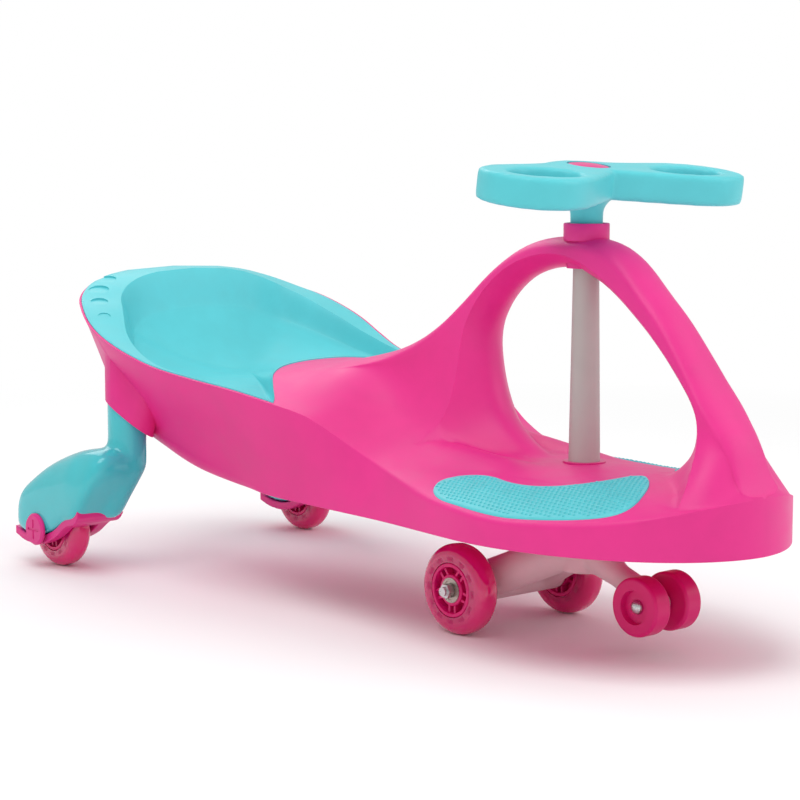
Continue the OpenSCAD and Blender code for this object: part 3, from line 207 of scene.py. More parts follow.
def along(table, x):
    """A smooth curve through a table of places and sizes."""
    last = len(table) - 1
    i = 0
    while i < last - 1 and x >= table[i + 1][0]:
        i += 1
    h = table[i + 1][0] - table[i][0]
    u = min(max((x - table[i][0]) / h, 0), 1)

    def slope(k):
        a, b = table[max(k - 1, 0)], table[min(k + 1, last)]
        return (b[1] - a[1]) / (b[0] - a[0])

    return hermite(table[i][1], table[i + 1][1], slope(i) * h, slope(i + 1) * h, u)


def closed_curve(points, steps):
    """A smooth closed outline through a few points."""
    n = len(points)
    p = [Vector(q) for q in points]
    return [
        hermite(p[i], p[(i + 1) % n], (p[(i + 1) % n] - p[i - 1]) / 2, (p[(i + 2) % n] - p[i]) / 2, s / steps)
        for i in range(n)
        for s in range(steps)
    ]


def open_curve(points, steps):
    """A smooth open line through a few points."""
    p = [Vector(q) for q in points]
    last = len(p) - 1
    line = []
    for i in range(last):
        m0 = (p[i + 1] - p[max(i - 1, 0)]) / 2
        m1 = (p[min(i + 2, last)] - p[i]) / 2
        line += [hermite(p[i], p[i + 1], m0, m1, s / steps) for s in range(steps)]
    return line + [p[last]]


RIM_WIDTH = sized(RIM_WIDTH_SHARES, 0, DECK_HALF, SEAT_HALF)
FOOT_WIDTH = sized(FOOT_WIDTH_SHARES, 0, DECK_HALF, SEAT_HALF)
RIM_RISE = sized(RIM_RISE_SHARES, SKIRT, DECK_RISE, STERN_RISE)
DECK_LINE = sized(DECK_RISE_SHARES, SKIRT, DECK_RISE, STERN_RISE)
CREST = sized(CREST_SHARES, SKIRT, ARCH_RISE, STERN_RISE)
CREST_WIDTH = sized(CREST_WIDTH_SHARES, 0, ARCH_HALF)
FLANK = sized(FLANK_SHARES, 0, 1)
KEEL = sized(KEEL_SHARES, SKIRT, STERN_RISE)
CHINE = sized(CHINE_SHARES, 0, HULL_ROUND)


# Body surfaces, as in the solid model but finer


def nose_half(x, inset):
    return (DECK_HALF - inset) * math.sqrt(max(1 - (x / (NOSE - inset)) ** 2, 0))


def rim_half(x, inset=0):
    return nose_half(x, inset) if x > 0 else along(RIM_WIDTH, x) - inset


def foot_half(x, inset=0):
    return nose_half(x, inset) if x > 0 else along(FOOT_WIDTH, x) - inset


def sternward(x, start, run):
    """0 to 1, from a share of the way to the stern over a further share."""
    return smooth((-x / STERN - start) / run)


def crest_half(x, inset=0):
    return min(along(CREST_WIDTH, x) - inset, rim_half(x, inset) * CREST_LIMIT)


def flank_reach(x, inset=0):
    return along(FLANK, x) * (rim_half(x, inset) - crest_half(x, inset))


def flank_fall(x, u):
    """Share of the flank's height left part of the way down: hollow, but straighter near the nose."""
    toe = smooth((x / NOSE - TOE_RUN[0]) / TOE_RUN[1])
    return mix((1 - u) ** 2, 1 - u * u, TOE_STRAIGHTNESS * toe)


def bead(x):
    """How far the edge round the seat stands up."""
    return SEAT_BEAD * min(max((-x / STERN - BEAD_RUN[0]) / BEAD_RUN[1], 0), 1) ** BEAD_BEND


def back_bead(x):
    """The same where it closes across the stern."""
    return bead(x) * sternward(x, *BACK_BEAD_RUN)


def rim_z(x):
    return along(RIM_RISE, x) + bead(x)


def crest_z(x):
    return along(CREST, x) + back_bead(x)


def deck_z(x, y):
    share = min(abs(y) / max(rim_half(x), 1), 1)
    return mix(along(DECK_LINE, x) + back_bead(x), rim_z(x), share * share)


def crest_fall(x):
    return min(CROWN, (crest_z(x) - deck_z(x, 0)) / 2)


def swell(x, y, z):
    """A height on the hump, made rounder towards the seat."""
    bell = 1 - smooth(abs(y) / (crest_half(x) + flank_reach(x)))
    round_z = deck_z(x, y) + (crest_z(x) - deck_z(x, 0)) * bell
    return mix(z, round_z, sternward(x, *SWELL_RUN))


def top_z(x, y):
    """Height of the body's upper surface."""
    w, f, c = crest_half(x), flank_reach(x), abs(y)
    if c > w + f:
        return deck_z(x, y)
    if c < w:
        z = crest_z(x) - crest_fall(x) * (1 - math.sqrt(1 - (c / w) ** 2))
    else:
        rise = crest_z(x) - crest_fall(x) - deck_z(x, w)
        z = deck_z(x, y) + rise * flank_fall(x, math.sqrt((c - w) / f))
    return swell(x, y, z)


def rounded(a, corner, b, radius, steps):
    """Points of a soft corner between two edges."""
    a, corner, b = Vector(a), Vector(corner), Vector(b)
    r = min(radius, (a - corner).length * CORNER_LIMIT, (b - corner).length * CORNER_LIMIT)
    p0 = corner + (a - corner).normalized() * r
    p2 = corner + (b - corner).normalized() * r
    return [
        tuple(p0 * (1 - u) ** 2 + corner * 2 * u * (1 - u) + p2 * u * u)
        for u in (k / steps for k in range(steps + 1))
    ]


def half_section(x, inset, low, ceiling, turn, flank_steps, edge):
    """One half of a cross-section, from the middle of the underside to the crest."""
    rim_top = rim_z(x) - inset
    wf, rim = foot_half(x, inset), rim_half(x, inset)
    zr = min(rim_top, ceiling)
    ch = min(along(CHINE, x), (zr - low) * CHINE_LIMIT, wf * CHINE_LIMIT)
    wr = mix(wf, rim, (zr - low - ch) / (rim_top - low - ch))
    k = wr / rim
    w, f = crest_half(x, inset), flank_reach(x, inset)
    fall = crest_fall(x)

    def upper(y, z):
        """A point of the upper side, kept under the ceiling."""
        return y * k, min(z - inset, ceiling + CROWN * (1 - (y / rim) ** 2))

    foot = [(0, low), ((wf - ch) * KEEL_SPOT, low)]
    for d in range(0, 91, turn):
        a = math.radians(d)
        foot.append((wf - ch + ch * math.sin(a), low + ch - ch * math.cos(a)))
    side = [(mix(wf, wr, u), mix(low + ch, zr, u)) for u in SIDE_SPOTS]
    deck = [upper(y, deck_z(x, y)) for y in (mix(rim, w + f, u) for u in DECK_SPOTS)]
    corner = rounded(side[-1], deck[0], deck[1], edge, EDGE_STEPS) if edge else deck[:1]
    flank, crest = [], []
    up = crest_z(x) - fall - deck_z(x, w)
    for i in range(flank_steps):
        u = 1 - i / flank_steps
        y = w + f * u * u
        flank.append(upper(y, swell(x, y, deck_z(x, y) + up * flank_fall(x, u))))
    for d in range(90, -1, -turn):
        a = math.radians(d)
        y = w * math.sin(a)
        crest.append(upper(y, swell(x, y, crest_z(x) - fall * (1 - math.cos(a)))))
    return foot + side + corner + deck[1:] + flank + crest


def section(x, *shape):
    half = half_section(x, *shape)
    ring = [(x, -y, z) for y, z in half]
    return ring + [(x, y, z) for y, z in half[-2:0:-1]]


def stations(back_steps, nose_steps, inset=0):
    """Places of the sections along the car."""
    back = [-(STERN - inset) * (1 - (i / back_steps) ** STERN_CROWDING) for i in range(back_steps)]
    front = [(NOSE - inset) * math.sin(NOSE_TURN * i / nose_steps) for i in range(nose_steps + 1)]
    return back + front


def seat_edge_line(steps):
    """Outline of the seat, a little inside the body's rim."""
    front_x, stern_x = place(SEAT_CORNER_SHARE), RIM_EDGE - STERN
    front = [(place(s), y * DECK_HALF) for s, y in SEAT_FRONT_SHARES]
    front.append((front_x, rim_half(front_x) - RIM_EDGE))
    half = [tuple(p) for p in open_curve(front, EDGE_STEPS)]
    for i in range(1, steps + 1):
        x = mix(front_x, stern_x, math.sin(i / steps * math.pi / 2))
        half.append((x, rim_half(x) - RIM_EDGE))
    half.append((stern_x, 0))
    return half + [(x, -y) for x, y in half[-2:0:-1]], len(half) - 1


def seat_rings(gap=0.0, lift=0.0, steps=70, wall_steps=20):
    """Rings of the seat, or with a gap and a lift of the pocket that it lies in."""
    edge, apex = seat_edge_line(steps)
    seat_x = place(SEAT_MIDDLE_SHARE)
    grown, parts = [], []
    for x, y in edge:
        v = Vector((x - seat_x, y))
        v *= 1 + gap / v.length
        grown.append((seat_x + v[0], v[1]))
        reach = math.hypot(grown[-1][0] - seat_x, v[1])
        flat = LEDGE_WIDTH * sternward(x, *LEDGE_RUN)
        high = top_z(x, y) + SEAT_GAP + SEAT_PROUD + STERN_PROUD * sternward(x, *PROUD_RUN)
        top, crest = reach - flat - LEDGE_LIP, high - LEDGE_FALL * flat
        height = mix(SEAT_SIDE, SEAT_BACK, max(-2 * x / STERN - 1, 0) ** BACK_BEND)
        parts.append((reach, top, top - WALL_LEAN * height - WALL_FOOT, high, crest, crest - height))

    def ring(spot):
        """One ring, from a function of each place's reach, wall top, wall foot, rim, crest and floor edge."""
        made = []
        for (gx, gy), part in zip(grown, parts):
            out, z = spot(*part)
            made.append((mix(seat_x, gx, out / part[0]), gy * out / part[0], z))
        return made

    def floor(share, up):
        return ring(lambda reach, top, foot, high, crest, low: (
            foot * share, mix(SEAT_FLOOR, low, share ** DISH_BEND) + up))

    def wall(u, up):
        return ring(lambda reach, top, foot, high, crest, low: (
            mix(foot, top, u), mix(low, crest, mix(u, smooth(u), WALL_ROUND)) + up))

    def ledge(u, up):
        return ring(lambda reach, top, foot, high, crest, low: (mix(top, reach, u), mix(crest, high, u) + up))

    turns = [i / wall_steps for i in range(1, wall_steps + 1)]
    upper = [floor(share, lift) for share in FLOOR_SHARES] + [wall(u, lift) for u in turns]
    upper += [ledge(u, lift) for u in LEDGE_SHARES] + [ledge(1, lift - EDGE_DROP)]
    lower = [ledge(1, -SEAT_WALL - gap), ledge(0.5, -SEAT_WALL - gap)]
    lower += [wall(u, -SEAT_WALL * (1 + WALL_BELLY * u * (1 - u)) - gap) for u in turns[-2::-3]]
    lower += [floor(share, -SEAT_WALL - gap) for share in FLOOR_SHARES[::-1]]
    return upper + lower, apex


# Mesh helpers


def placed(point):
    """A place in metres, from millimetres about the steering axis."""
    return Vector(((point[0] + AXIS_X) * MM, point[1] * MM, point[2] * MM))


def new_object(name, mesh):
    obj = bpy.data.objects.new(name, mesh)
    bpy.context.scene.collection.objects.link(obj)
    return obj


def from_bmesh(name, bm):
    """A mesh object from what was put together."""
    mesh = bpy.data.meshes.new(name)
    bm.to_mesh(mesh)
    bm.free()
    return new_object(name, mesh)


def from_points(name, points, faces):
    """A mesh object from points in millimetres about the steering axis."""
    mesh = bpy.data.meshes.new(name)
    mesh.from_pydata([placed(p) for p in points], [], faces)
    bm = bmesh.new()
    bm.from_mesh(mesh)
    bmesh.ops.recalc_face_normals(bm, faces=bm.faces)
    bm.to_mesh(mesh)
    bm.free()
    return new_object(name, mesh)


def skin(name, rings, apex=0, closed=False):
    """A closed skin over rings with equal numbers of points."""
    n, count = len(rings[0]), len(rings)
    points = [p for r in rings for p in r]
    faces = []
    for i in range(count if closed else count - 1):
        a, b = i * n, (i + 1) % count * n
        faces += [(a + j, a + (j + 1) % n, b + (j + 1) % n, b + j) for j in range(n)]
    if not closed:
        for start in (0, (count - 1) * n):
            for j in range(1, n - 1):
                faces.append((start + apex, start + (apex + j) % n, start + (apex + j + 1) % n))
    return from_points(name, points, faces)


def cylinder(name, base, axis, radius, length, top_radius=None, sides=64):
    """A cylinder or cone from a base point along an axis, in millimetres."""
    bm = bmesh.new()
    bmesh.ops.create_cone(
        bm, cap_ends=True, segments=sides, radius1=radius * MM,
        radius2=(radius if top_radius is None else top_radius) * MM, depth=length * MM)
    turn = Vector(UP).rotation_difference(Vector(axis)).to_matrix().to_4x4()
    bm.transform(Matrix.Translation(placed(base)) @ turn @ Matrix.Translation((0, 0, length * MM / 2)))
    return from_bmesh(name, bm)


def ball(name, at, radius):
    bm = bmesh.new()
    bmesh.ops.create_uvsphere(bm, u_segments=32, v_segments=16, radius=radius * MM)
    bm.transform(Matrix.Translation(placed(at)))
    return from_bmesh(name, bm)


def lathe(name, at, profile, steps=72, upright=False):
    """A solid of revolution about an axle along Y, or upright: profile of radius and place along the axle."""
    rings = []
    for i in range(steps):
        a = 2 * math.pi * i / steps
        ring = [(r * math.cos(a), r * math.sin(a), p) for r, p in profile]
        if not upright:
            ring = [(x, p, z) for x, z, p in ring]
        rings.append([(at[0] + x, at[1] + y, at[2] + z) for x, y, z in ring])
    return skin(name, rings, closed=True)


def remove(obj):
    mesh = obj.data
    bpy.data.objects.remove(obj)
    if mesh.users == 0:
        bpy.data.meshes.remove(mesh)


def hull(name, *parts):
    """One convex piece round several, which are used up."""
    bm = bmesh.new()
    for part in parts:
        for vertex in part.data.vertices:
            bm.verts.new(vertex.co)
        remove(part)
    bmesh.ops.remove_doubles(bm, verts=bm.verts, dist=MERGE)
    bmesh.ops.convex_hull(bm, input=bm.verts)
    bmesh.ops.delete(bm, geom=[v for v in bm.verts if not v.link_faces], context="VERTS")
    bmesh.ops.recalc_face_normals(bm, faces=bm.faces)
    return from_bmesh(name, bm)


def bake(obj):
    """Turns an object's modifiers into its mesh."""
    graph = bpy.context.evaluated_depsgraph_get()
    mesh = bpy.data.meshes.new_from_object(obj.evaluated_get(graph))
    old = obj.data
    obj.modifiers.clear()
    obj.data = mesh
    bpy.data.meshes.remove(old)
    if not len(mesh.polygons):
        raise RuntimeError(f"{obj.name} came out empty")
    return obj


def combine(obj, operation, *others):
    """Cuts, joins or intersects an object with others, which are used up."""
    for other in others:
        step = obj.modifiers.new("combine", "BOOLEAN")
        step.operation, step.solver, step.object = operation, "MANIFOLD", other
        bake(obj)
        remove(other)
    return obj


def melt(obj, voxel, rounds):
    """Remeshes a piece evenly and softens it."""
    step = obj.modifiers.new("even", "REMESH")
    step.mode, step.voxel_size = "VOXEL", voxel * MM
    step = obj.modifiers.new("soften", "SMOOTH")
    step.factor, step.iterations = 0.5, rounds
    return bake(obj)


def join(name, parts):
    """Puts several objects' meshes in one object."""
    bm = bmesh.new()
    for part in parts:
        bm.from_mesh(part.data)
        remove(part)
    return from_bmesh(name, bm)


def cad_copy(node):
    """A copy of a CAD node's mesh with its triangles joined up."""
    bm = bmesh.new()
    bm.from_mesh(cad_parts[node].data)
    bmesh.ops.remove_doubles(bm, verts=bm.verts, dist=MERGE)
    return from_bmesh(node, bm)


def mirrored(obj, name):
    """A copy of an object on the car's other side."""
    mesh = obj.data.copy()
    mesh.transform(Matrix.Diagonal((1, -1, 1, 1)))
    mesh.flip_normals()
    return new_object(name, mesh)


def dress(mesh, material):
    """Gives a mesh one material in place of what it had."""
    mesh.materials.clear()
    mesh.materials.append(material)


def finish_piece(obj, body, material, nodes=(), angle=40):
    """Shades a piece, gives it its material and ties it to the frame."""
    obj.data.shade_smooth()
    obj.data.set_sharp_from_angle(angle=math.radians(angle))
    dress(obj.data, material)
    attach(obj, body)
    if nodes:
        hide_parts(*nodes)
    return obj


def paint(nodes, material):
    """Gives CAD nodes a material."""
    for node in nodes:
        dress(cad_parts[node].data, material)


# Materials


class Wire:
    """A node's output that takes part in sums and feeds other nodes."""

    def __init__(self, tree, socket):
        self.tree, self.socket = tree, socket

    def node(self, kind, inputs=None, output=0, **settings):
        """A new node, set up first, then fed by socket name or number; one of its outputs as a wire."""
        made = self.tree.nodes.new(kind)
        for key, value in settings.items():
            setattr(made, key, value)
        feed(made, inputs or {})
        return Wire(self.tree, made.outputs[output])

    def _sum(self, operation, a, b):
        return self.node("ShaderNodeMath", {0: a, 1: b}, operation=operation)

    def __add__(self, other):
        return self._sum("ADD", self, other)

    __radd__ = __add__

    def __mul__(self, other):
        return self._sum("MULTIPLY", self, other)

    __rmul__ = __mul__

    def __sub__(self, other):
        return self._sum("SUBTRACT", self, other)

    def __rsub__(self, other):
        return self._sum("SUBTRACT", other, self)

    def __truediv__(self, other):
        return self._sum("DIVIDE", self, other)

    def __rtruediv__(self, other):
        return self._sum("DIVIDE", other, self)

    def span(self, low, high):
        """This value, from 0 to 1 between two limits."""
        return self.node("ShaderNodeMapRange", {0: self, 1: low, 2: high, 3: 0.0, 4: 1.0})

    def noise(self, scale, detail=2.0):
        """Noise read at this place."""
        return self.node(
            "ShaderNodeTexNoise", {"Vector": self, "Scale": scale, "Detail": detail}, noise_dimensions="3D")

    def tint(self, colour_a, colour_b):
        """A colour between two, by this value."""
        colours = {6: (*colour_a, 1), 7: (*colour_b, 1)}
        return self.node("ShaderNodeMix", {0: self, **colours}, output=2, data_type="RGBA")

    def bump(self, strength, distance):
        """A surface roughened by this height."""
        return self.node("ShaderNodeBump", {"Strength": strength, "Distance": distance, "Height": self})


def feed(node, inputs):
    """Feeds a node's sockets, by name or number, with wires or values."""
    for key, value in inputs.items():
        if isinstance(value, Wire):
            value.tree.links.new(value.socket, node.inputs[key])
        else:
            node.inputs[key].default_value = value


def new_material(name):
    """A new material, its shader and a wire with the place on the piece."""
    material = bpy.data.materials.new(name)
    material.use_nodes = True
    shader = material.node_tree.nodes["Principled BSDF"]
    surface = Wire(material.node_tree, shader.outputs[0])
    return material, shader, surface.node("ShaderNodeTexCoord", output="Object")


def shade(colour, factor):
    return tuple(min(c * factor, 1) for c in colour)


def moulded(name, colour, roughness, grain=0.12, grain_scale=1500, glow=0.0, coat=0.0):
    """Moulded plastic: slow changes of tone, a fine grain and uneven gloss."""
    material, shader, spot = new_material(name)
    tone, cloud = spot.noise(9.0, 3.0), spot.noise(55.0, 3.0)
    patches = (tone * 0.7 + cloud * 0.3).span(0.3, 0.7)
    feed(shader, {
        "Base Color": patches.tint(shade(colour, 0.93), shade(colour, 1.06)),
        "Roughness": cloud.span(0.25, 0.75) * 0.1 + (roughness - 0.05),
        "Normal": spot.noise(float(grain_scale)).bump(grain, 0.0004),
        "IOR": 1.48, "Specular IOR Level": 0.36,
    })
    if glow:
        feed(shader, {
            "Subsurface Weight": glow, "Subsurface Radius": (1.0, 0.3, 0.4), "Subsurface Scale": 0.004})
    if coat:
        feed(shader, {"Coat Weight": coat, "Coat Roughness": 0.08})
    return material


def metal(name, colour, roughness):
    """Plated or turned steel: fine turning marks and a little tarnish."""
    material, shader, spot = new_material(name)
    cloud = spot.noise(160.0, 4.0)
    feed(shader, {
        "Base Color": cloud.span(0.3, 0.7).tint(shade(colour, 0.82), colour),
        "Roughness": cloud.span(0.2, 0.8) * 0.16 + roughness,
        "Normal": spot.noise(2600.0).bump(0.08, 0.0002),
        "Metallic": 1.0,
    })
    return material


def cast_tyre(name, colour):
    """Cast polyurethane: deeper inside, brighter towards the tread."""
    material, shader, spot = new_material(name)
    depth = spot.node("ShaderNodeAttribute", output=2, attribute_name="reach")
    cloud = spot.noise(70.0, 3.0)
    feed(shader, {
        "Base Color": (depth * 0.85 + cloud * 0.15).tint(shade(colour, 0.75), shade(colour, 1.15)),
        "Roughness": cloud.span(0.2, 0.8) * 0.1 + 0.1,
        "Normal": cloud.bump(0.05, 0.0005),
        "Subsurface Weight": 0.35, "Subsurface Radius": (1.0, 0.25, 0.45), "Subsurface Scale": 0.006,
        "Coat Weight": 0.6,
    })
    return material


def finish(name):
    """The finish of that name, made once."""
    label = "wiggle_" + name
    c = bpy.context.scene.wiggle_colours
    pod_colour = (c.trim[0] * 0.5, c.trim[1] * 0.9, c.trim[2] * 0.9)
    makers = {
        "body": lambda: moulded(label, c.body, 0.42, 0.16, 1300),
        "trim": lambda: moulded(label, c.trim, 0.40, 0.12, 1400),
        "pod": lambda: moulded(label, pod_colour, 0.16, 0.03, 500, coat=0.5),
        "cover": lambda: moulded(label, shade(c.body, 0.92), 0.34, 0.06),
        "column": lambda: moulded(label, c.column, 0.5, 0.2, 2200),
        "truck": lambda: moulded(label, c.truck, 0.36, 0.05, 700, glow=0.1),
        "core": lambda: moulded(label, c.tyre, 0.28, 0.04, 800),
        # Darker tyre pink: painted shade inside the tyre's slots
        "key": lambda: moulded(label, shade(c.tyre, 0.72), 0.3, 0.04, 800),
        "small": lambda: moulded(label, c.tyre, 0.38, 0.08, 900),
        "tyre": lambda: cast_tyre(label, c.tyre),
        "steel": lambda: metal(label, c.steel, 0.22),
        "bearing": lambda: metal(label, BEARING_COLOUR, 0.2),
    }
    return bpy.data.materials.get(label) or makers[name]()


# Settings


class WiggleColours(bpy.types.PropertyGroup):
    """Colours of the car's pieces."""

    body: bpy.props.FloatVectorProperty(
        name="Body", description="Pink of the moulded body", subtype="COLOR", min=0, max=1,
        default=(0.80, 0.028, 0.26))
    trim: bpy.props.FloatVectorProperty(
        name="Trim", description="Turquoise of seat, pads, legs and steering wheel", subtype="COLOR",
        min=0, max=1, default=(0.105, 0.60, 0.66))
    tyre: bpy.props.FloatVectorProperty(
        name="Wheels", description="Crimson pink of the wheels", subtype="COLOR", min=0, max=1,
        default=(0.70, 0.006, 0.16))
    column: bpy.props.FloatVectorProperty(
        name="Column", description="Grey of the steering column", subtype="COLOR", min=0, max=1,
        default=(0.50, 0.44, 0.42))
    truck: bpy.props.FloatVectorProperty(
        name="Truck", description="Grey-white of the truck under the body", subtype="COLOR", min=0, max=1,
        default=(0.76, 0.53, 0.56))
    steel: bpy.props.FloatVectorProperty(
        name="Steel", description="Plated steel of bolts and bearings", subtype="COLOR", min=0, max=1,
        default=(0.66, 0.66, 0.67))


class WiggleSizes(bpy.types.PropertyGroup):
    """Sizes of the details that only the looks have."""

    edge_round: bpy.props.FloatProperty(
        name="Deck edge", description="Rounding of the deck's outer edge", unit="LENGTH", min=0.001, max=0.008,
        default=0.006)
    dot_pitch: bpy.props.FloatProperty(
        name="Dot pitch", description="Distance between the foot pads' dots", unit="LENGTH", min=0.003,
        max=0.008, default=0.0048)
    dot_size: bpy.props.FloatProperty(
        name="Dot size", description="Radius of a foot pad's dot", unit="LENGTH", min=0.0005, max=0.002,
        default=0.0014)
    # Number of darker boxes in each tyre, painted as the shade of its shallow slots
    slot_shade_count: bpy.props.IntProperty(
        name="Tyre keys", description="Keys that hold a road wheel's tyre to its core", min=6, max=16,
        default=12)
    spoke_count: bpy.props.IntProperty(
        name="Spoke pairs", description="Pairs of spokes in a road wheel's core", min=3, max=8, default=5)


class WiggleStage(bpy.types.PropertyGroup):
    """Light and view."""

    key_power: bpy.props.FloatProperty(
        name="Key light", description="Power of the main soft light", subtype="POWER", min=0, max=500,
        default=29.4)
    fill_power: bpy.props.FloatProperty(
        name="Fill light", description="Power of the light from the other side", subtype="POWER", min=0,
        max=500, default=11)
    sky: bpy.props.FloatProperty(
        name="Room light", description="Strength of the even light from all round", min=0, max=2, default=0.66)
    lens: bpy.props.FloatProperty(
        name="Lens", description="Focal length on a 36 mm frame", subtype="DISTANCE_CAMERA", min=20, max=200,
        default=97.0)


# Repeats


def new_group(title, inputs, build):
    """A node group with named inputs that ends in real meshes with a material."""
    tree = bpy.data.node_groups.new(title, "GeometryNodeTree")
    for name, kind in inputs.items():
        tree.interface.new_socket(name, in_out="INPUT", socket_type="NodeSocket" + kind)
    tree.interface.new_socket("Geometry", in_out="OUTPUT", socket_type="NodeSocketGeometry")
    outputs = tree.nodes.new("NodeGroupInput").outputs
    given = {name: Wire(tree, outputs[name]) for name in inputs}
    put = build(given)
    real = put.node("GeometryNodeRealizeInstances", {"Geometry": put})
    coloured = real.node("GeometryNodeSetMaterial", {"Geometry": real, "Material": given["Material"]})
    feed(tree.nodes.new("NodeGroupOutput"), {"Geometry": coloured})
    return tree


def repeat(name, title, inputs, build, values, start=None):
    """Runs a node group, built once, and leaves its result as a plain mesh."""
    tree = bpy.data.node_groups.get(title) or new_group(title, inputs, build)
    names = {s.name: s.identifier for s in tree.interface.items_tree if s.in_out == "INPUT"}
    obj = start or new_object(name, bpy.data.meshes.new(name))
    step = obj.modifiers.new("repeat", "NODES")
    step.node_group = tree
    for key, value in values.items():
        step[names[key]] = value
    obj.update_tag()
    return bake(obj)


def ring_of_boxes(given):
    """Nodes that set boxes round an axle along Y."""
    count = given["Count"]
    circle = count.node("GeometryNodeMeshCircle", {"Vertices": count, "Radius": given["Radius"]})
    box = count.node("GeometryNodeMeshCube", {"Size": given["Size"]})
    aside = count.node("ShaderNodeCombineXYZ", {"Y": given["Side"]})
    box = count.node("GeometryNodeTransform", {"Geometry": box, "Translation": aside})
    angle = count.node("GeometryNodeInputIndex") / count * (2 * math.pi)
    outward = count.node("ShaderNodeCombineXYZ", {"Z": angle})
    ring = count.node("GeometryNodeInstanceOnPoints", {"Points": circle, "Instance": box, "Rotation": outward})
    turn = count.node("ShaderNodeCombineXYZ", {"Z": given["Turn"]})
    ring = count.node("GeometryNodeTransform", {"Geometry": ring, "Rotation": turn})
    return count.node("GeometryNodeTransform", {
        "Geometry": ring, "Translation": given["Place"], "Rotation": (-math.pi / 2, 0, 0)})


def boxes_round(name, at, count, radius, size, material, side=0.0, turn=0.0):
    """Boxes round an axle, in millimetres about the steering axis."""
    inputs = {
        "Count": "Int", "Radius": "Float", "Size": "Vector", "Side": "Float", "Turn": "Float",
        "Place": "Vector", "Material": "Material",
    }
    return repeat(name, "boxes round an axle", inputs, ring_of_boxes, {
        "Count": count, "Radius": radius * MM, "Size": [s * MM for s in size], "Side": side * MM,
        "Turn": turn, "Place": list(placed(at)), "Material": material,
    })


def dome_on_points(given):
    """Nodes that set a low dome on each point of a mesh."""
    points = given["Geometry"]
    dome = points.node("GeometryNodeMeshUVSphere", {"Segments": 10, "Rings": 6, "Radius": given["Radius"]})
    dome = points.node("GeometryNodeTransform", {"Geometry": dome, "Scale": (1, 1, 0.95)})
    return points.node("GeometryNodeInstanceOnPoints", {"Points": points, "Instance": dome})


def domes_on(base, radius, material):
    """A low dome in place of each point of an object."""
    inputs = {"Geometry": "Geometry", "Radius": "Float", "Material": "Material"}
    return repeat(
        base.name, "domes on points", inputs, dome_on_points, {"Radius": radius, "Material": material}, base)


# Pieces


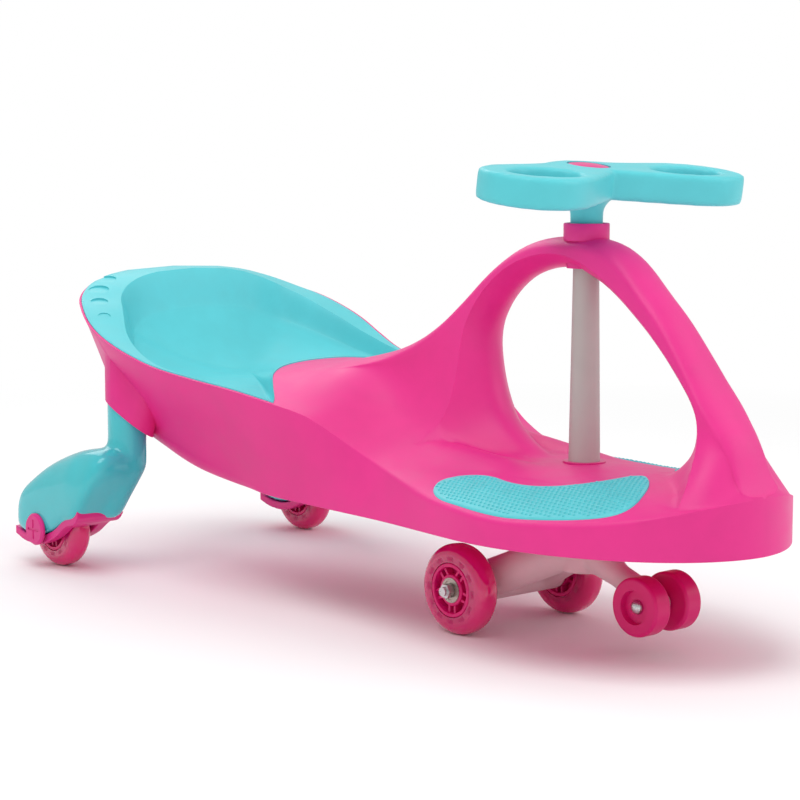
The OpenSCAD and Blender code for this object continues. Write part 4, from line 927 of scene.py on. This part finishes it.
class WIGGLE_OT_body(bpy.types.Operator):
    """Builds the moulded body"""

    bl_idname = "wiggle.body"
    bl_label = "Body"

    # Degrees from point to point round chine and crest, and points down a flank
    BODY_STEPS, HOLLOW_STEPS = (10, 22), (45, 5)
    # The rim's edge: its rounding round the seat, and where it grows to that of the deck
    SEAT_EDGE_ROUND, ROUND_START_SHARE, ROUND_RUN = 1.5, 0.46, 60
    # Bores for column, bush and collar: foot, top and radius
    BORES = (
        (0, DECK + 1, 16.9), (DECK - 1.5, DECK + 9, 18.4), (ARCH - 40, ARCH + 9, 16.9),
        (ARCH - 1.5, ARCH + 9, 19.8),
    )
    POST_GAP = 0.3
    # A socket's lip: points, wall, extra wall and the way it faces, height in the middle and slope
    LIP_STEPS, LIP_WALL, LIP_EXTRA, LIP_FACING = 64, 2.4, 5, (0.66, -0.75)
    LIP_Z, LIP_SLOPE = 157, (-0.53, 0.61)
    # Where a socket runs out: a disc over the post, and one ahead of it and nearer the middle
    UPPER_RISE, AHEAD, AHEAD_IN, AHEAD_RISE = 35, 28, 11, 16
    # Window: slices each way and their crowding, mouth and reach as shares of the arch, flare and sill
    SLICES, SLICE_CROWDING, MOUTH_SHARE, REACH_SHARE, FLARE = 24, 1.5, 0.86, 3.4, 9
    SILL_GAP, SILL_RUN, SILL_START, SILL_STEEPNESS = 0.4, 50, 0.6, 1.6
    # Hollow: depth under the deck, and the place and run of its rise from under the seat
    DECK_DEPTH, RISE_BACK, RISE_RUN, BULKHEAD = 22, 280, 120, 8

    def execute(self, context):
        edge = context.scene.wiggle_sizes.edge_round / MM
        fine = 150
        rings = []
        for x in stations(fine, fine // 3):
            ahead = smooth((x + self.ROUND_START_SHARE * STERN) / self.ROUND_RUN)
            soft = mix(self.SEAT_EDGE_ROUND, edge, ahead)
            rings.append(section(x, 0, along(KEEL, x), ARCH + 2, *self.BODY_STEPS, soft))
        body = combine(skin("body", rings), "DIFFERENCE", self.window(), self.hollow())
        for side in SIDES.values():
            combine(body, "UNION", self.boss(side))
        rings, apex = seat_rings(SEAT_GAP, STERN_TOP - SEAT_FLOOR)
        combine(body, "DIFFERENCE", skin("pocket", rings, apex))
        for side in SIDES.values():
            foot = (-POST_BACK, side * POST_OUT, 0)
            combine(body, "DIFFERENCE", cylinder(
                "hole", foot, UP, POST_D / 2 + self.POST_GAP, POST_TOP + self.POST_GAP))
        for low, high, radius in self.BORES:
            combine(body, "DIFFERENCE", cylinder("bore", (0, 0, low), UP, radius, high - low))
        finish_piece(body, "chassis", finish("body"), ("body_shell",), angle=38)
        return {"FINISHED"}

    def boss(self, side):
        """The socket that a rear leg's post goes up into; it runs out in the body's side above."""
        wall = POST_D / 2 + self.LIP_WALL
        lip = []
        for k in range(self.LIP_STEPS):
            a = 2 * math.pi * k / self.LIP_STEPS
            c, d = math.cos(a), math.sin(a) * side
            r = wall + self.LIP_EXTRA * max(self.LIP_FACING[0] * c + self.LIP_FACING[1] * d, 0)
            slope = self.LIP_SLOPE[0] * r * c + self.LIP_SLOPE[1] * r * d
            lip.append((r * c - POST_BACK, side * (r * d + POST_OUT), self.LIP_Z + slope))
        upper = (-POST_BACK, side * POST_OUT, POST_TOP + self.UPPER_RISE)
        ahead = (self.AHEAD - POST_BACK, side * (POST_OUT - self.AHEAD_IN), POST_TOP + self.AHEAD_RISE)
        return hull(
            "boss", from_points("lip", lip, []), cylinder("upper", upper, UP, wall, 1),
            cylinder("ahead", ahead, UP, POST_D / 3, 1))

    def window(self):
        """The opening through the arch, flared to both sides."""
        height = ARCH - ARCH_DEPTH - DECK
        outline = closed_curve(
            [(u * WINDOW_LENGTH - WINDOW_REAR, DECK + v * height) for u, v in WINDOW_SHARES], 9)
        n = len(outline)
        mouth_half, reach = ARCH_HALF * self.MOUTH_SHARE, ARCH_HALF * self.REACH_SHARE
        rings = []
        for k in range(-self.SLICES, self.SLICES + 1):
            y = -reach * math.copysign(abs(k / self.SLICES) ** self.SLICE_CROWDING, k)
            v = abs(y) / mouth_half
            open_by = self.FLARE * (v * v if v < 1 else 2 * v - 1)
            outward = smooth(self.SILL_STEEPNESS * abs(y) / reach - self.SILL_START)
            ring = []
            for i in range(n):
                t = outline[(i + 1) % n] - outline[i - 1]
                p = outline[i] + Vector((-t[1], t[0])).normalized() * open_by
                uncut = outward * smooth(-p[0] / self.SILL_RUN)
                sill = mix(deck_z(p[0], y), top_z(p[0], y), uncut)
                ring.append((p[0], y, max(p[1], sill + self.SILL_GAP)))
            rings.append(ring)
        return skin("window", rings)

    def hollow(self):
        """The space under the deck, ahead of the bulkhead, without the arch's inside."""
        start = place(SEAT_FRONT_SHARES[0][0]) + WALL
        under_seat = SEAT_FLOOR - 2 * SEAT_WALL - SEAT_GAP - WALL - CROWN
        rings = []
        for x in [start] + [x for x in stations(40, 14, WALL) if x > start + self.BULKHEAD]:
            ceiling = mix(under_seat, DECK - self.DECK_DEPTH, smooth((x + self.RISE_BACK) / self.RISE_RUN))
            rings.append(section(x, WALL, SKIRT - 1, ceiling, *self.HOLLOW_STEPS, 0))
        return skin("hollow", rings)


class WIGGLE_OT_seat(bpy.types.Operator):
    """Builds the seat with its ledge and grip recesses"""

    bl_idname = "wiggle.seat"
    bl_label = "Seat"

    def execute(self, context):
        rings, apex = seat_rings()
        seat = skin("seat", rings, apex)
        last = len(GRIPS) - 1
        for k, (x, y, radius) in enumerate(GRIPS):
            here, there = (Vector(GRIPS[i][:2]) for i in (min(k, last - 1), min(k + 1, last)))
            hit, top, normal, _ = seat.ray_cast(((x + AXIS_X) * MM, y * MM, 1), (0, 0, -1))
            if not hit:
                raise RuntimeError("No ledge under a grip mark")
            lean = normal + Vector((*(there - here).normalized(), 0)) * (GRIP_TILT if k else 0)
            at = top / MM - normal * GRIP_DEPTH
            foot = (at[0] - AXIS_X, at[1], at[2])
            combine(seat, "DIFFERENCE", cylinder(
                "grip", foot, lean, radius, 4 * radius, GRIP_SPREAD * radius, sides=40))
        finish_piece(seat, "chassis", finish("trim"), ("seat",), angle=50)
        return {"FINISHED"}


class WIGGLE_OT_pads(bpy.types.Operator):
    """Builds the foot pads and their raised dots"""

    bl_idname = "wiggle.pads"
    bl_label = "Foot pads"

    # Angles round the steering axis, inner radius, margin to the rim, thickness and depth in the deck
    FROM, TO, INNER, MARGIN, HEIGHT, SINK = 13.5, 125, 82, 6, 3, 1.6
    FRONT_ROUND_SHARE, BACK_ROUND_SHARE, END_BEND, END_GAP = 0.08, 0.20, 2.3, 0.03
    # Front tip: its width at the start, degrees over which it widens and softness of the bend
    TIP_SHARE, TIP_RUN, TIP_SOFTNESS, BACK_SPREAD = 0.35, 16, 11, 0.55
    # Rings along a pad, points across half of it and the share of its thickness at each
    STEPS = 90
    ACROSS = ((1, 0.5), (0.985, 0.8), (0.95, 1), (0.9, 1), (0.5, 1))
    # Dots: half of the field they fill, distance between rows, margins at ends and sides, depth
    FIELD, ROW_SHARE, DOT_ENDS, DOT_SIDES, DOT_SINK = 200, 0.866, 2, 3.2, 0.3

    def sill(self, a):
        near, far = DECK_HALF - self.MARGIN, NOSE - self.MARGIN * 2
        s, c = math.sin(math.radians(a)), math.cos(math.radians(a))
        if a < 90:
            return near * far / math.hypot(near * c, far * s)
        return near / mix(1, s, self.BACK_SPREAD)

    def outer(self, a):
        wide, soft = self.sill(90) - self.INNER, self.TIP_SOFTNESS
        slant = self.INNER + wide * (self.TIP_SHARE + (a - self.FROM) / self.TIP_RUN)
        return -soft * math.log(math.exp(-self.sill(a) / soft) + math.exp(-slant / soft))

    def limits(self, a):
        """Middle and half of a pad's width at an angle."""
        u = (a - self.FROM) / (self.TO - self.FROM)
        mid, half = (self.INNER + self.outer(a)) / 2, (self.outer(a) - self.INNER) / 2
        end = min(u / self.FRONT_ROUND_SHARE, (1 - u) / self.BACK_ROUND_SHARE, 1)
        return mid, half * max(1 - (1 - end) ** self.END_BEND, 0) ** 0.5

    def execute(self, context):
        sizes = context.scene.wiggle_sizes
        across = [(-v, e) for v, e in self.ACROSS] + [(0, 1)] + list(self.ACROSS[::-1])
        for side, sign in SIDES.items():
            rings = []
            for i in range(self.STEPS + 1):
                turn = mix(self.END_GAP, 1 - self.END_GAP, i / self.STEPS) * math.pi
                a = mix(self.FROM, self.TO, (1 - math.cos(turn)) / 2)
                mid, half = self.limits(a)
                low, high = [], []
                for v, thick in across:
                    r = mid + half * v
                    x, y = r * math.cos(math.radians(a)), r * math.sin(math.radians(a))
                    z = deck_z(x, y) - self.SINK
                    low.append((x, sign * y, z))
                    high.append((x, sign * y, z + self.HEIGHT * thick))
                rings.append(low + high[::-1])
            pad = skin("foot_pad_" + side, rings)
            pad = join("foot_pad_" + side, [pad, self.dots("dots_" + side, sign, sizes)])
            finish_piece(pad, "chassis", finish("trim"), ("foot_pad_" + side,))
        return {"FINISHED"}

    def dots(self, name, sign, sizes):
        """Dots in staggered rows, clear of a pad's edge."""
        pitch = sizes.dot_pitch / MM
        rows = int(2 * self.FIELD / pitch)
        points = []
        for j in range(rows):
            for i in range(rows):
                x = -self.FIELD + (i + 0.5 * (j % 2)) * pitch
                y = j * pitch * self.ROW_SHARE
                a, r = math.degrees(math.atan2(y, x)), math.hypot(x, y)
                if not self.FROM + self.DOT_ENDS < a < self.TO - self.DOT_ENDS:
                    continue
                mid, half = self.limits(a)
                if abs(r - mid) < half - self.DOT_SIDES:
                    points.append((x, sign * y, deck_z(x, y) - self.SINK + self.HEIGHT - self.DOT_SINK))
        return domes_on(from_points(name, points, []), sizes.dot_size, finish("trim"))


class WIGGLE_OT_legs(bpy.types.Operator):
    """Builds the rear legs with their wheel covers and axle caps"""

    bl_idname = "wiggle.legs"
    bl_label = "Rear legs"

    # Pod: points along it, how fast it narrows to its front and turns from square to soft sections
    STEPS, FRONT_BEND, SOFT_STEEPNESS, SECTION_TURN = 40, 1.5, 1.5, 9
    # Post: share of the pod's rise where it starts and extra radius; its foot runs out in a ball
    POST_SHARE, POST_EXTRA, BALL_SHIFT, BALL_DROP, BALL_R = 0.72, 1, 12, 40, 13
    WELL_GAP, BORE_R, BORE_HALF = 3, 4.3, 100
    # Voxel and rounds of softening
    POD_MELT, COVER_MELT = (1.6, 120), (0.8, 7)

    def execute(self, context):
        pod = combine(self.pod(), "UNION", *self.post())
        melt(pod, *self.POD_MELT)
        well = (-REAR_BACK, REAR_TRACK - WHEEL_W / 2 - self.WELL_GAP, WHEEL_R)
        axle = (-REAR_BACK, REAR_TRACK - self.BORE_HALF, WHEEL_R)
        combine(
            pod, "DIFFERENCE",
            cylinder("well", well, ASIDE, WHEEL_R + self.WELL_GAP, WHEEL_W + 2 * self.WELL_GAP),
            cylinder("bore", axle, ASIDE, self.BORE_R, 2 * self.BORE_HALF, sides=32))
        for side, sign in SIDES.items():
            leg = pod if sign > 0 else mirrored(pod, "rear_leg_right")
            leg.name = "rear_leg_" + side
            finish_piece(leg, "chassis", finish("pod"), ("rear_leg_" + side,))
            cover = melt(cad_copy("wheel_cover_" + side), *self.COVER_MELT)
            finish_piece(cover, "chassis", finish("cover"), ("wheel_cover_" + side,))
        paint(["axle_cap_left", "axle_cap_right"], finish("cover"))
        return {"FINISHED"}

    def pod(self):
        """The left pod over its wheel."""
        reach = REAR_BACK - POST_BACK
        top, foot = (
            [(u * reach, v * POD_RISE) for u, v in shares] for shares in (POD_TOP_SHARES, POD_FOOT_SHARES))
        square, soft = ([(k[0], k[i]) for k in POD_SIDE_SHARES] for i in (1, 2))
        tail, front = top[0][0], top[-1][0]
        waist = (tail + front) / 2
        full = [mix(tail, front, (1 - math.cos(i * math.pi / self.STEPS)) / 2) for i in range(self.STEPS + 1)]
        rings = []
        for d in range(-90, 91, self.SECTION_TURN):
            v = math.sin(math.radians(d))
            full_share = along(square, v)
            low, high = [], []
            for f in full:
                x = mix(waist, f, (1 + full_share) / 2 if f < waist else full_share ** self.FRONT_BEND)
                softness = smooth((f - tail) / (front - tail) * self.SOFT_STEEPNESS)
                share = mix(full_share, along(soft, v), softness)
                low.append((x, along(foot, x)))
                high.append((x, along(foot, x) + (along(top, f) - along(foot, f)) * share))
            y = REAR_TRACK + v * POD_WIDTH / 2
            rings.append([(x - REAR_BACK, y, z + WHEEL_R - SOLE_DROP) for x, z in low + high[::-1]])
        return skin("rear_leg", rings)

    def post(self):
        """The post up into its socket, and its foot on the pod."""
        base, radius = WHEEL_R + POD_RISE * self.POST_SHARE, POST_D / 2 + self.POST_EXTRA
        low = (-POST_BACK - self.BALL_SHIFT, POST_OUT + self.BALL_SHIFT, base - self.BALL_DROP)
        foot = hull(
            "foot_of_post", cylinder("top", (-POST_BACK, POST_OUT, base), UP, radius, 2),
            ball("low", low, self.BALL_R))
        return cylinder("post", (-POST_BACK, POST_OUT, base - 1), UP, radius, POST_TOP - base + 1), foot


class WIGGLE_OT_steering(bpy.types.Operator):
    """Builds the twin-loop steering wheel and its cap"""

    bl_idname = "wiggle.steering"
    bl_label = "Steering wheel"

    # Half of the wheel's outline seen from above, and a loop's hole: middle and half-sizes
    OUTLINE = (
        (30, 0), (40, 16), (53, 38), (67, 63), (75, 88), (73, 110), (63, 128), (46, 138), (26, 140), (5, 132),
        (-8, 115), (-12, 90), (-14, 60), (-19, 36), (-28, 16), (-31, 0),
    )
    HOLE = (34, 85, 24, 35)
    # Rim: height, tilt and half of its thickness
    HEIGHT, TILT, HALF = 394, math.radians(8), 13
    # Sleeve: foot and radius, the cone that it widens in below the rim, and its bore
    SLEEVE_FOOT, SLEEVE_R, CONE_DROP, CONE_LENGTH, CONE_R = 326, 14, 24, 16, 27
    BORE_FOOT, BORE_R, BORE_OVER = 320, 11.3, 0.3
    # Recess for the cap, and the cap: radius and height over the rim's middle
    RECESS_R, RECESS_Z = 18.8, 4
    CAP = (
        (18.0, 4.5), (18.5, 5), (18.5, 10.8), (18.0, 11.8), (16.5, 12.6), (12, 13.4), (6, 13.8), (1, 13.9),
    )
    TURNS = tuple(math.radians(5 * i) for i in range(72))
    MELT = (1.5, 48)

    def tilted(self, x, y, z):
        s, c = math.sin(self.TILT), math.cos(self.TILT)
        return (x * c + z * s, y, self.HEIGHT - x * s + z * c)

    def prism(self, name, outline, half):
        return skin(name, [[self.tilted(x, y, z) for x, y in outline] for z in (-half, half)])

    def round_plate(self, name, profile):
        return skin(name, [
            [self.tilted(r * math.cos(a), r * math.sin(a), z) for a in self.TURNS] for r, z in profile])

    @staticmethod
    def upright(name, foot, *sizes):
        """A cylinder or cone on the steering axis."""
        return cylinder(name, (0, 0, foot), UP, *sizes)

    def execute(self, context):
        edge = [tuple(q) for q in open_curve(self.OUTLINE, 6)]
        wheel = self.prism(
            "steering_wheel", [(0, -1), (edge[0][0], -1)] + edge + [(edge[-1][0], -1)], self.HALF)
        x, y, half_x, half_y = self.HOLE
        hole = [(x + half_x * math.cos(a), y + half_y * math.sin(a)) for a in self.TURNS]
        combine(wheel, "DIFFERENCE", self.prism("hole", hole, 2 * self.HALF))
        combine(
            wheel, "UNION", mirrored(wheel, "right"),
            self.upright("cone", self.HEIGHT - self.CONE_DROP, self.SLEEVE_R, self.CONE_LENGTH, self.CONE_R),
            self.upright("sleeve", self.SLEEVE_FOOT, self.SLEEVE_R, self.HEIGHT - self.SLEEVE_FOOT))
        melt(wheel, *self.MELT)
        combine(
            wheel, "DIFFERENCE",
            self.upright("bore", self.BORE_FOOT, self.BORE_R, self.HEIGHT + self.BORE_OVER - self.BORE_FOOT),
            self.round_plate("recess", [(self.RECESS_R, self.RECESS_Z), (self.RECESS_R, 3 * self.HALF)]))
        cap = self.round_plate("steering_cap", self.CAP)
        finish_piece(cap, "steering", finish("cover"), ("steering_cap",))
        finish_piece(wheel, "steering", finish("trim"), ("steering_wheel",))
        return {"FINISHED"}


class WIGGLE_OT_truck(bpy.types.Operator):
    """Softens the truck's moulded form"""

    bl_idname = "wiggle.truck"
    bl_label = "Truck"

    # Voxel and rounds of softening
    MELT = (1.4, 16)

    def execute(self, context):
        truck = melt(cad_copy("truck"), *self.MELT)
        finish_piece(truck, "steering", finish("truck"), ("truck",))
        return {"FINISHED"}


class WIGGLE_OT_wheels(bpy.types.Operator):
    """Builds the road wheels: tyre, darker boxes in it that paint the shade of its slots, and core with paired
    spokes
    """

    bl_idname = "wiggle.wheels"
    bl_label = "Road wheels"

    HALF = WHEEL_W / 2
    # Tyre: rounding of the tread and inner radius; darker boxes of painted slot shade: radius, size and how far
    # they stand out
    CROWN, INNER = 10, 24.3
    KEY_R, KEY_SIZE, KEY_OVER = 27.4, (3.4, 6.6), 0.3
    # Core: ring, boss and web as radius and place along the axle
    RING = (
        (20, 1 - HALF), (20.6, -HALF - 0.2), (23.2, -HALF - 0.2), (24, 0.8 - HALF), (24, HALF - 0.8),
        (23.2, HALF + 0.2), (20.6, HALF + 0.2), (20, HALF - 1),
    )
    BOSS = (
        (11.05, 0.6 - HALF), (13.2, 0.6 - HALF), (13.8, 1.4 - HALF), (13.8, HALF - 1.4), (13.2, HALF - 0.6),
        (11.05, HALF - 0.6),
    )
    WEB = ((13, -2.5), (21, -2.5), (21, 2.5), (13, 2.5))
    # Spokes: radius, size, distance of a pair from its middle line and turn
    SPOKE_R, SPOKE_SIZE, SPOKE_ASIDE, SPOKE_TURN = 17, (8, 2.2, WHEEL_W - 4), 3.4, 0.3

    def execute(self, context):
        sizes = context.scene.wiggle_sizes
        for corner in CORNERS:
            back, track = (FRONT_BACK, FRONT_TRACK) if corner.startswith("front") else (REAR_BACK, REAR_TRACK)
            at = (-back, SIDES[corner.split("_")[1]] * track, WHEEL_R)
            self.tyre(corner, at)
            # Darker tyre-pink boxes through the tyre: painted shade of its shallow slots
            slot_shades = boxes_round(
                "keys_" + corner, at, sizes.slot_shade_count, self.KEY_R, (*self.KEY_SIZE, WHEEL_W + self.KEY_OVER),
                finish("key"))
            finish_piece(slot_shades, "wheel_" + corner, finish("key"))
            self.core(corner, at, sizes.spoke_count)
        return {"FINISHED"}

    def tyre(self, corner, at):
        """The tyre, with the share of the way out to the tread at each point."""
        tread = WHEEL_R - self.CROWN
        profile = [(self.INNER, -self.HALF), (tread, -self.HALF)]
        for start, middle_y in ((-90, self.CROWN - self.HALF), (0, self.HALF - self.CROWN)):
            for d in range(start, start + 91, 9):
                a = math.radians(d)
                profile.append((tread + self.CROWN * math.cos(a), middle_y + self.CROWN * math.sin(a)))
        profile.append((self.INNER, self.HALF))
        tyre = lathe("tyre_" + corner, at, profile, 96)
        values = tyre.data.attributes.new("reach", "FLOAT", "POINT")
        for vertex in tyre.data.vertices:
            dx, dz = vertex.co.x / MM - AXIS_X - at[0], vertex.co.z / MM - at[2]
            values.data[vertex.index].value = (math.hypot(dx, dz) - self.INNER) / (WHEEL_R - self.INNER)
        finish_piece(tyre, "wheel_" + corner, finish("tyre"), ("tyre_" + corner,))

    def core(self, corner, at, pairs):
        """The core: a ring, a boss and a web between them, with pairs of spokes."""
        core = lathe("ring", at, self.RING, 96)
        parts = [lathe("boss", at, self.BOSS), lathe("web", at, self.WEB)]
        for side in (-self.SPOKE_ASIDE, self.SPOKE_ASIDE):
            parts.append(boxes_round(
                "spokes", at, pairs, self.SPOKE_R, self.SPOKE_SIZE, finish("core"), side, self.SPOKE_TURN))
        combine(core, "UNION", *parts)
        core.name = "wheel_core_" + corner
        finish_piece(core, "wheel_" + corner, finish("core"), ("wheel_core_" + corner,), angle=35)


class WIGGLE_OT_fittings(bpy.types.Operator):
    """Finishes the column, bushes, bolts, bearings and anti-tip wheels"""

    bl_idname = "wiggle.fittings"
    bl_label = "Fittings"

    # The collar on the arch, a tube with a gap round the steering wheel's sleeve: radius and height
    COLLAR = (
        (14.2, ARCH - ARCH_DEPTH), (16.6, ARCH - ARCH_DEPTH), (16.6, ARCH - 4), (18.9, ARCH - 4),
        (19.5, ARCH - 3), (19.5, ARCH + 10), (19.2, ARCH + 10.8), (18.6, ARCH + 11), (17.2, ARCH + 11),
        (16.7, ARCH + 10.4), (16.7, ARCH - 2), (14.2, ARCH - 2),
    )

    def execute(self, context):
        paint(["steering_column"], finish("column"))
        paint(["lower_bush"], finish("cover"))
        collar = lathe("steering_collar", (0, 0, 0), self.COLLAR, 96, upright=True)
        finish_piece(collar, "chassis", finish("body"), ("steering_collar",))
        paint(["small_wheel_left", "small_wheel_right"], finish("small"))
        paint([
            "leg_screws", "rear_axle_left", "rear_axle_right", "steering_bolt", "column_pin", "front_axle_left",
            "front_axle_right", "small_axle", "small_axle_caps"], finish("steel"))
        for corner in CORNERS:
            paint(["bearings_" + corner, "bearing_spacer_" + corner], finish("bearing"))
        return {"FINISHED"}


class WIGGLE_OT_stage(bpy.types.Operator):
    """Sets the floor, the light and the camera"""

    bl_idname = "wiggle.stage"
    bl_label = "Stage"

    # Half of the floor's side and where it runs out to white, in metres
    FLOOR_HALF, FADE = 6, (0.8, 1.9)
    # Soft lights: place and side in metres, and the setting that holds their power
    LIGHTS = (
        ("key", (0.5, -0.95, 2.5), 1.8, "key_power"), ("fill", (1.6, 1.4, 1.4), 1.6, "fill_power"),
        ("back", (-1.8, 0.6, 1.9), 1.5, "fill_power"),
    )
    LIT = Vector((0, 0, 0.2))
    # Camera: place in millimetres about the steering axis, and its turn and tilt
    CAMERA, TURN, TILT = (1267, -1321, 424), math.radians(41.26), math.radians(6.77)

    def execute(self, context):
        scene = context.scene
        stage = scene.wiggle_stage
        self.floor()
        self.room(scene, stage)
        for name, at, side, power in self.LIGHTS:
            lamp = bpy.data.lights.new(name, "AREA")
            lamp.energy, lamp.size = getattr(stage, power), side
            self.aim(new_object(name, lamp), at, self.LIT - Vector(at))
        camera = bpy.data.cameras.new("camera")
        camera.lens, camera.sensor_width = stage.lens, 36
        scene.camera = new_object("camera", camera)
        flat = math.cos(self.TILT)
        look = (-flat * math.cos(self.TURN), flat * math.sin(self.TURN), -math.sin(self.TILT))
        self.aim(scene.camera, placed(self.CAMERA), Vector(look))
        scene.view_settings.view_transform = "Standard"
        return {"FINISHED"}

    @staticmethod
    def aim(obj, at, look):
        """Puts a light or the camera in its place and points it."""
        obj.location = at
        obj.rotation_euler = look.to_track_quat("-Z", "Y").to_euler()

    def floor(self):
        """A pale floor that runs out to white far from the car."""
        h = self.FLOOR_HALF
        mesh = bpy.data.meshes.new("floor")
        mesh.from_pydata([(-h, -h, 0), (h, -h, 0), (h, h, 0), (-h, h, 0)], [], [(0, 1, 2, 3)])
        floor = new_object("floor", mesh)
        material, shader, spot = new_material("wiggle_floor")
        feed(shader, {
            "Base Color": spot.noise(0.6).tint((0.95, 0.95, 0.95), (0.97, 0.97, 0.97)),
            "Roughness": 0.9, "Specular IOR Level": 0.1,
        })
        far = spot.node("ShaderNodeVectorMath", {0: spot}, output=1, operation="LENGTH").span(*self.FADE)
        white, lit = spot.node("ShaderNodeEmission"), Wire(spot.tree, shader.outputs[0])
        surface = spot.node("ShaderNodeMixShader", {0: far, 1: lit, 2: white})
        feed(spot.tree.nodes["Material Output"], {"Surface": surface})
        mesh.materials.append(material)

    @staticmethod
    def room(scene, stage):
        """Even light from all round, in front of a white wall."""
        scene.world = bpy.data.worlds.new("room")
        scene.world.use_nodes = True
        tree = scene.world.node_tree
        white = (1, 1, 1, 1)
        feed(tree.nodes["Background"], {"Color": white, "Strength": stage.sky})
        lit = Wire(tree, tree.nodes["Background"].outputs[0])
        seen = lit.node("ShaderNodeBackground", {"Color": white, "Strength": 1.0})
        straight = lit.node("ShaderNodeLightPath", output="Is Camera Ray")
        surface = lit.node("ShaderNodeMixShader", {0: straight, 1: lit, 2: seen})
        feed(tree.nodes["World Output"], {"Surface": surface})


class WIGGLE_PT_panel(bpy.types.Panel):
    """Lists the car's pieces and settings"""

    bl_idname = "WIGGLE_PT_panel"
    bl_label = "Wiggle car"
    bl_space_type = "VIEW_3D"
    bl_region_type = "UI"
    bl_category = "Wiggle car"

    def draw(self, context):
        for kind in OPERATORS:
            self.layout.operator(kind.bl_idname)
        for group in ("wiggle_colours", "wiggle_sizes", "wiggle_stage"):
            settings = getattr(context.scene, group)
            for key in settings.__annotations__:
                self.layout.prop(settings, key)


OPERATORS = (
    WIGGLE_OT_body, WIGGLE_OT_seat, WIGGLE_OT_pads, WIGGLE_OT_legs, WIGGLE_OT_steering, WIGGLE_OT_truck,
    WIGGLE_OT_wheels, WIGGLE_OT_fittings, WIGGLE_OT_stage,
)
GROUPS = (("wiggle_colours", WiggleColours), ("wiggle_sizes", WiggleSizes), ("wiggle_stage", WiggleStage))


def register():
    for name, kind in GROUPS:
        bpy.utils.register_class(kind)
        setattr(bpy.types.Scene, name, bpy.props.PointerProperty(type=kind))
    for kind in (*OPERATORS, WIGGLE_PT_panel):
        bpy.utils.register_class(kind)


def unregister():
    for kind in (WIGGLE_PT_panel, *OPERATORS[::-1]):
        bpy.utils.unregister_class(kind)
    for name, kind in GROUPS[::-1]:
        delattr(bpy.types.Scene, name)
        bpy.utils.unregister_class(kind)


def main():
    register()
    bpy.ops.wiggle.body()
    bpy.ops.wiggle.seat()
    bpy.ops.wiggle.pads()
    bpy.ops.wiggle.legs()
    bpy.ops.wiggle.steering()
    bpy.ops.wiggle.truck()
    bpy.ops.wiggle.wheels()
    bpy.ops.wiggle.fittings()
    bpy.ops.wiggle.stage()


if __name__ == "__main__":
    main()
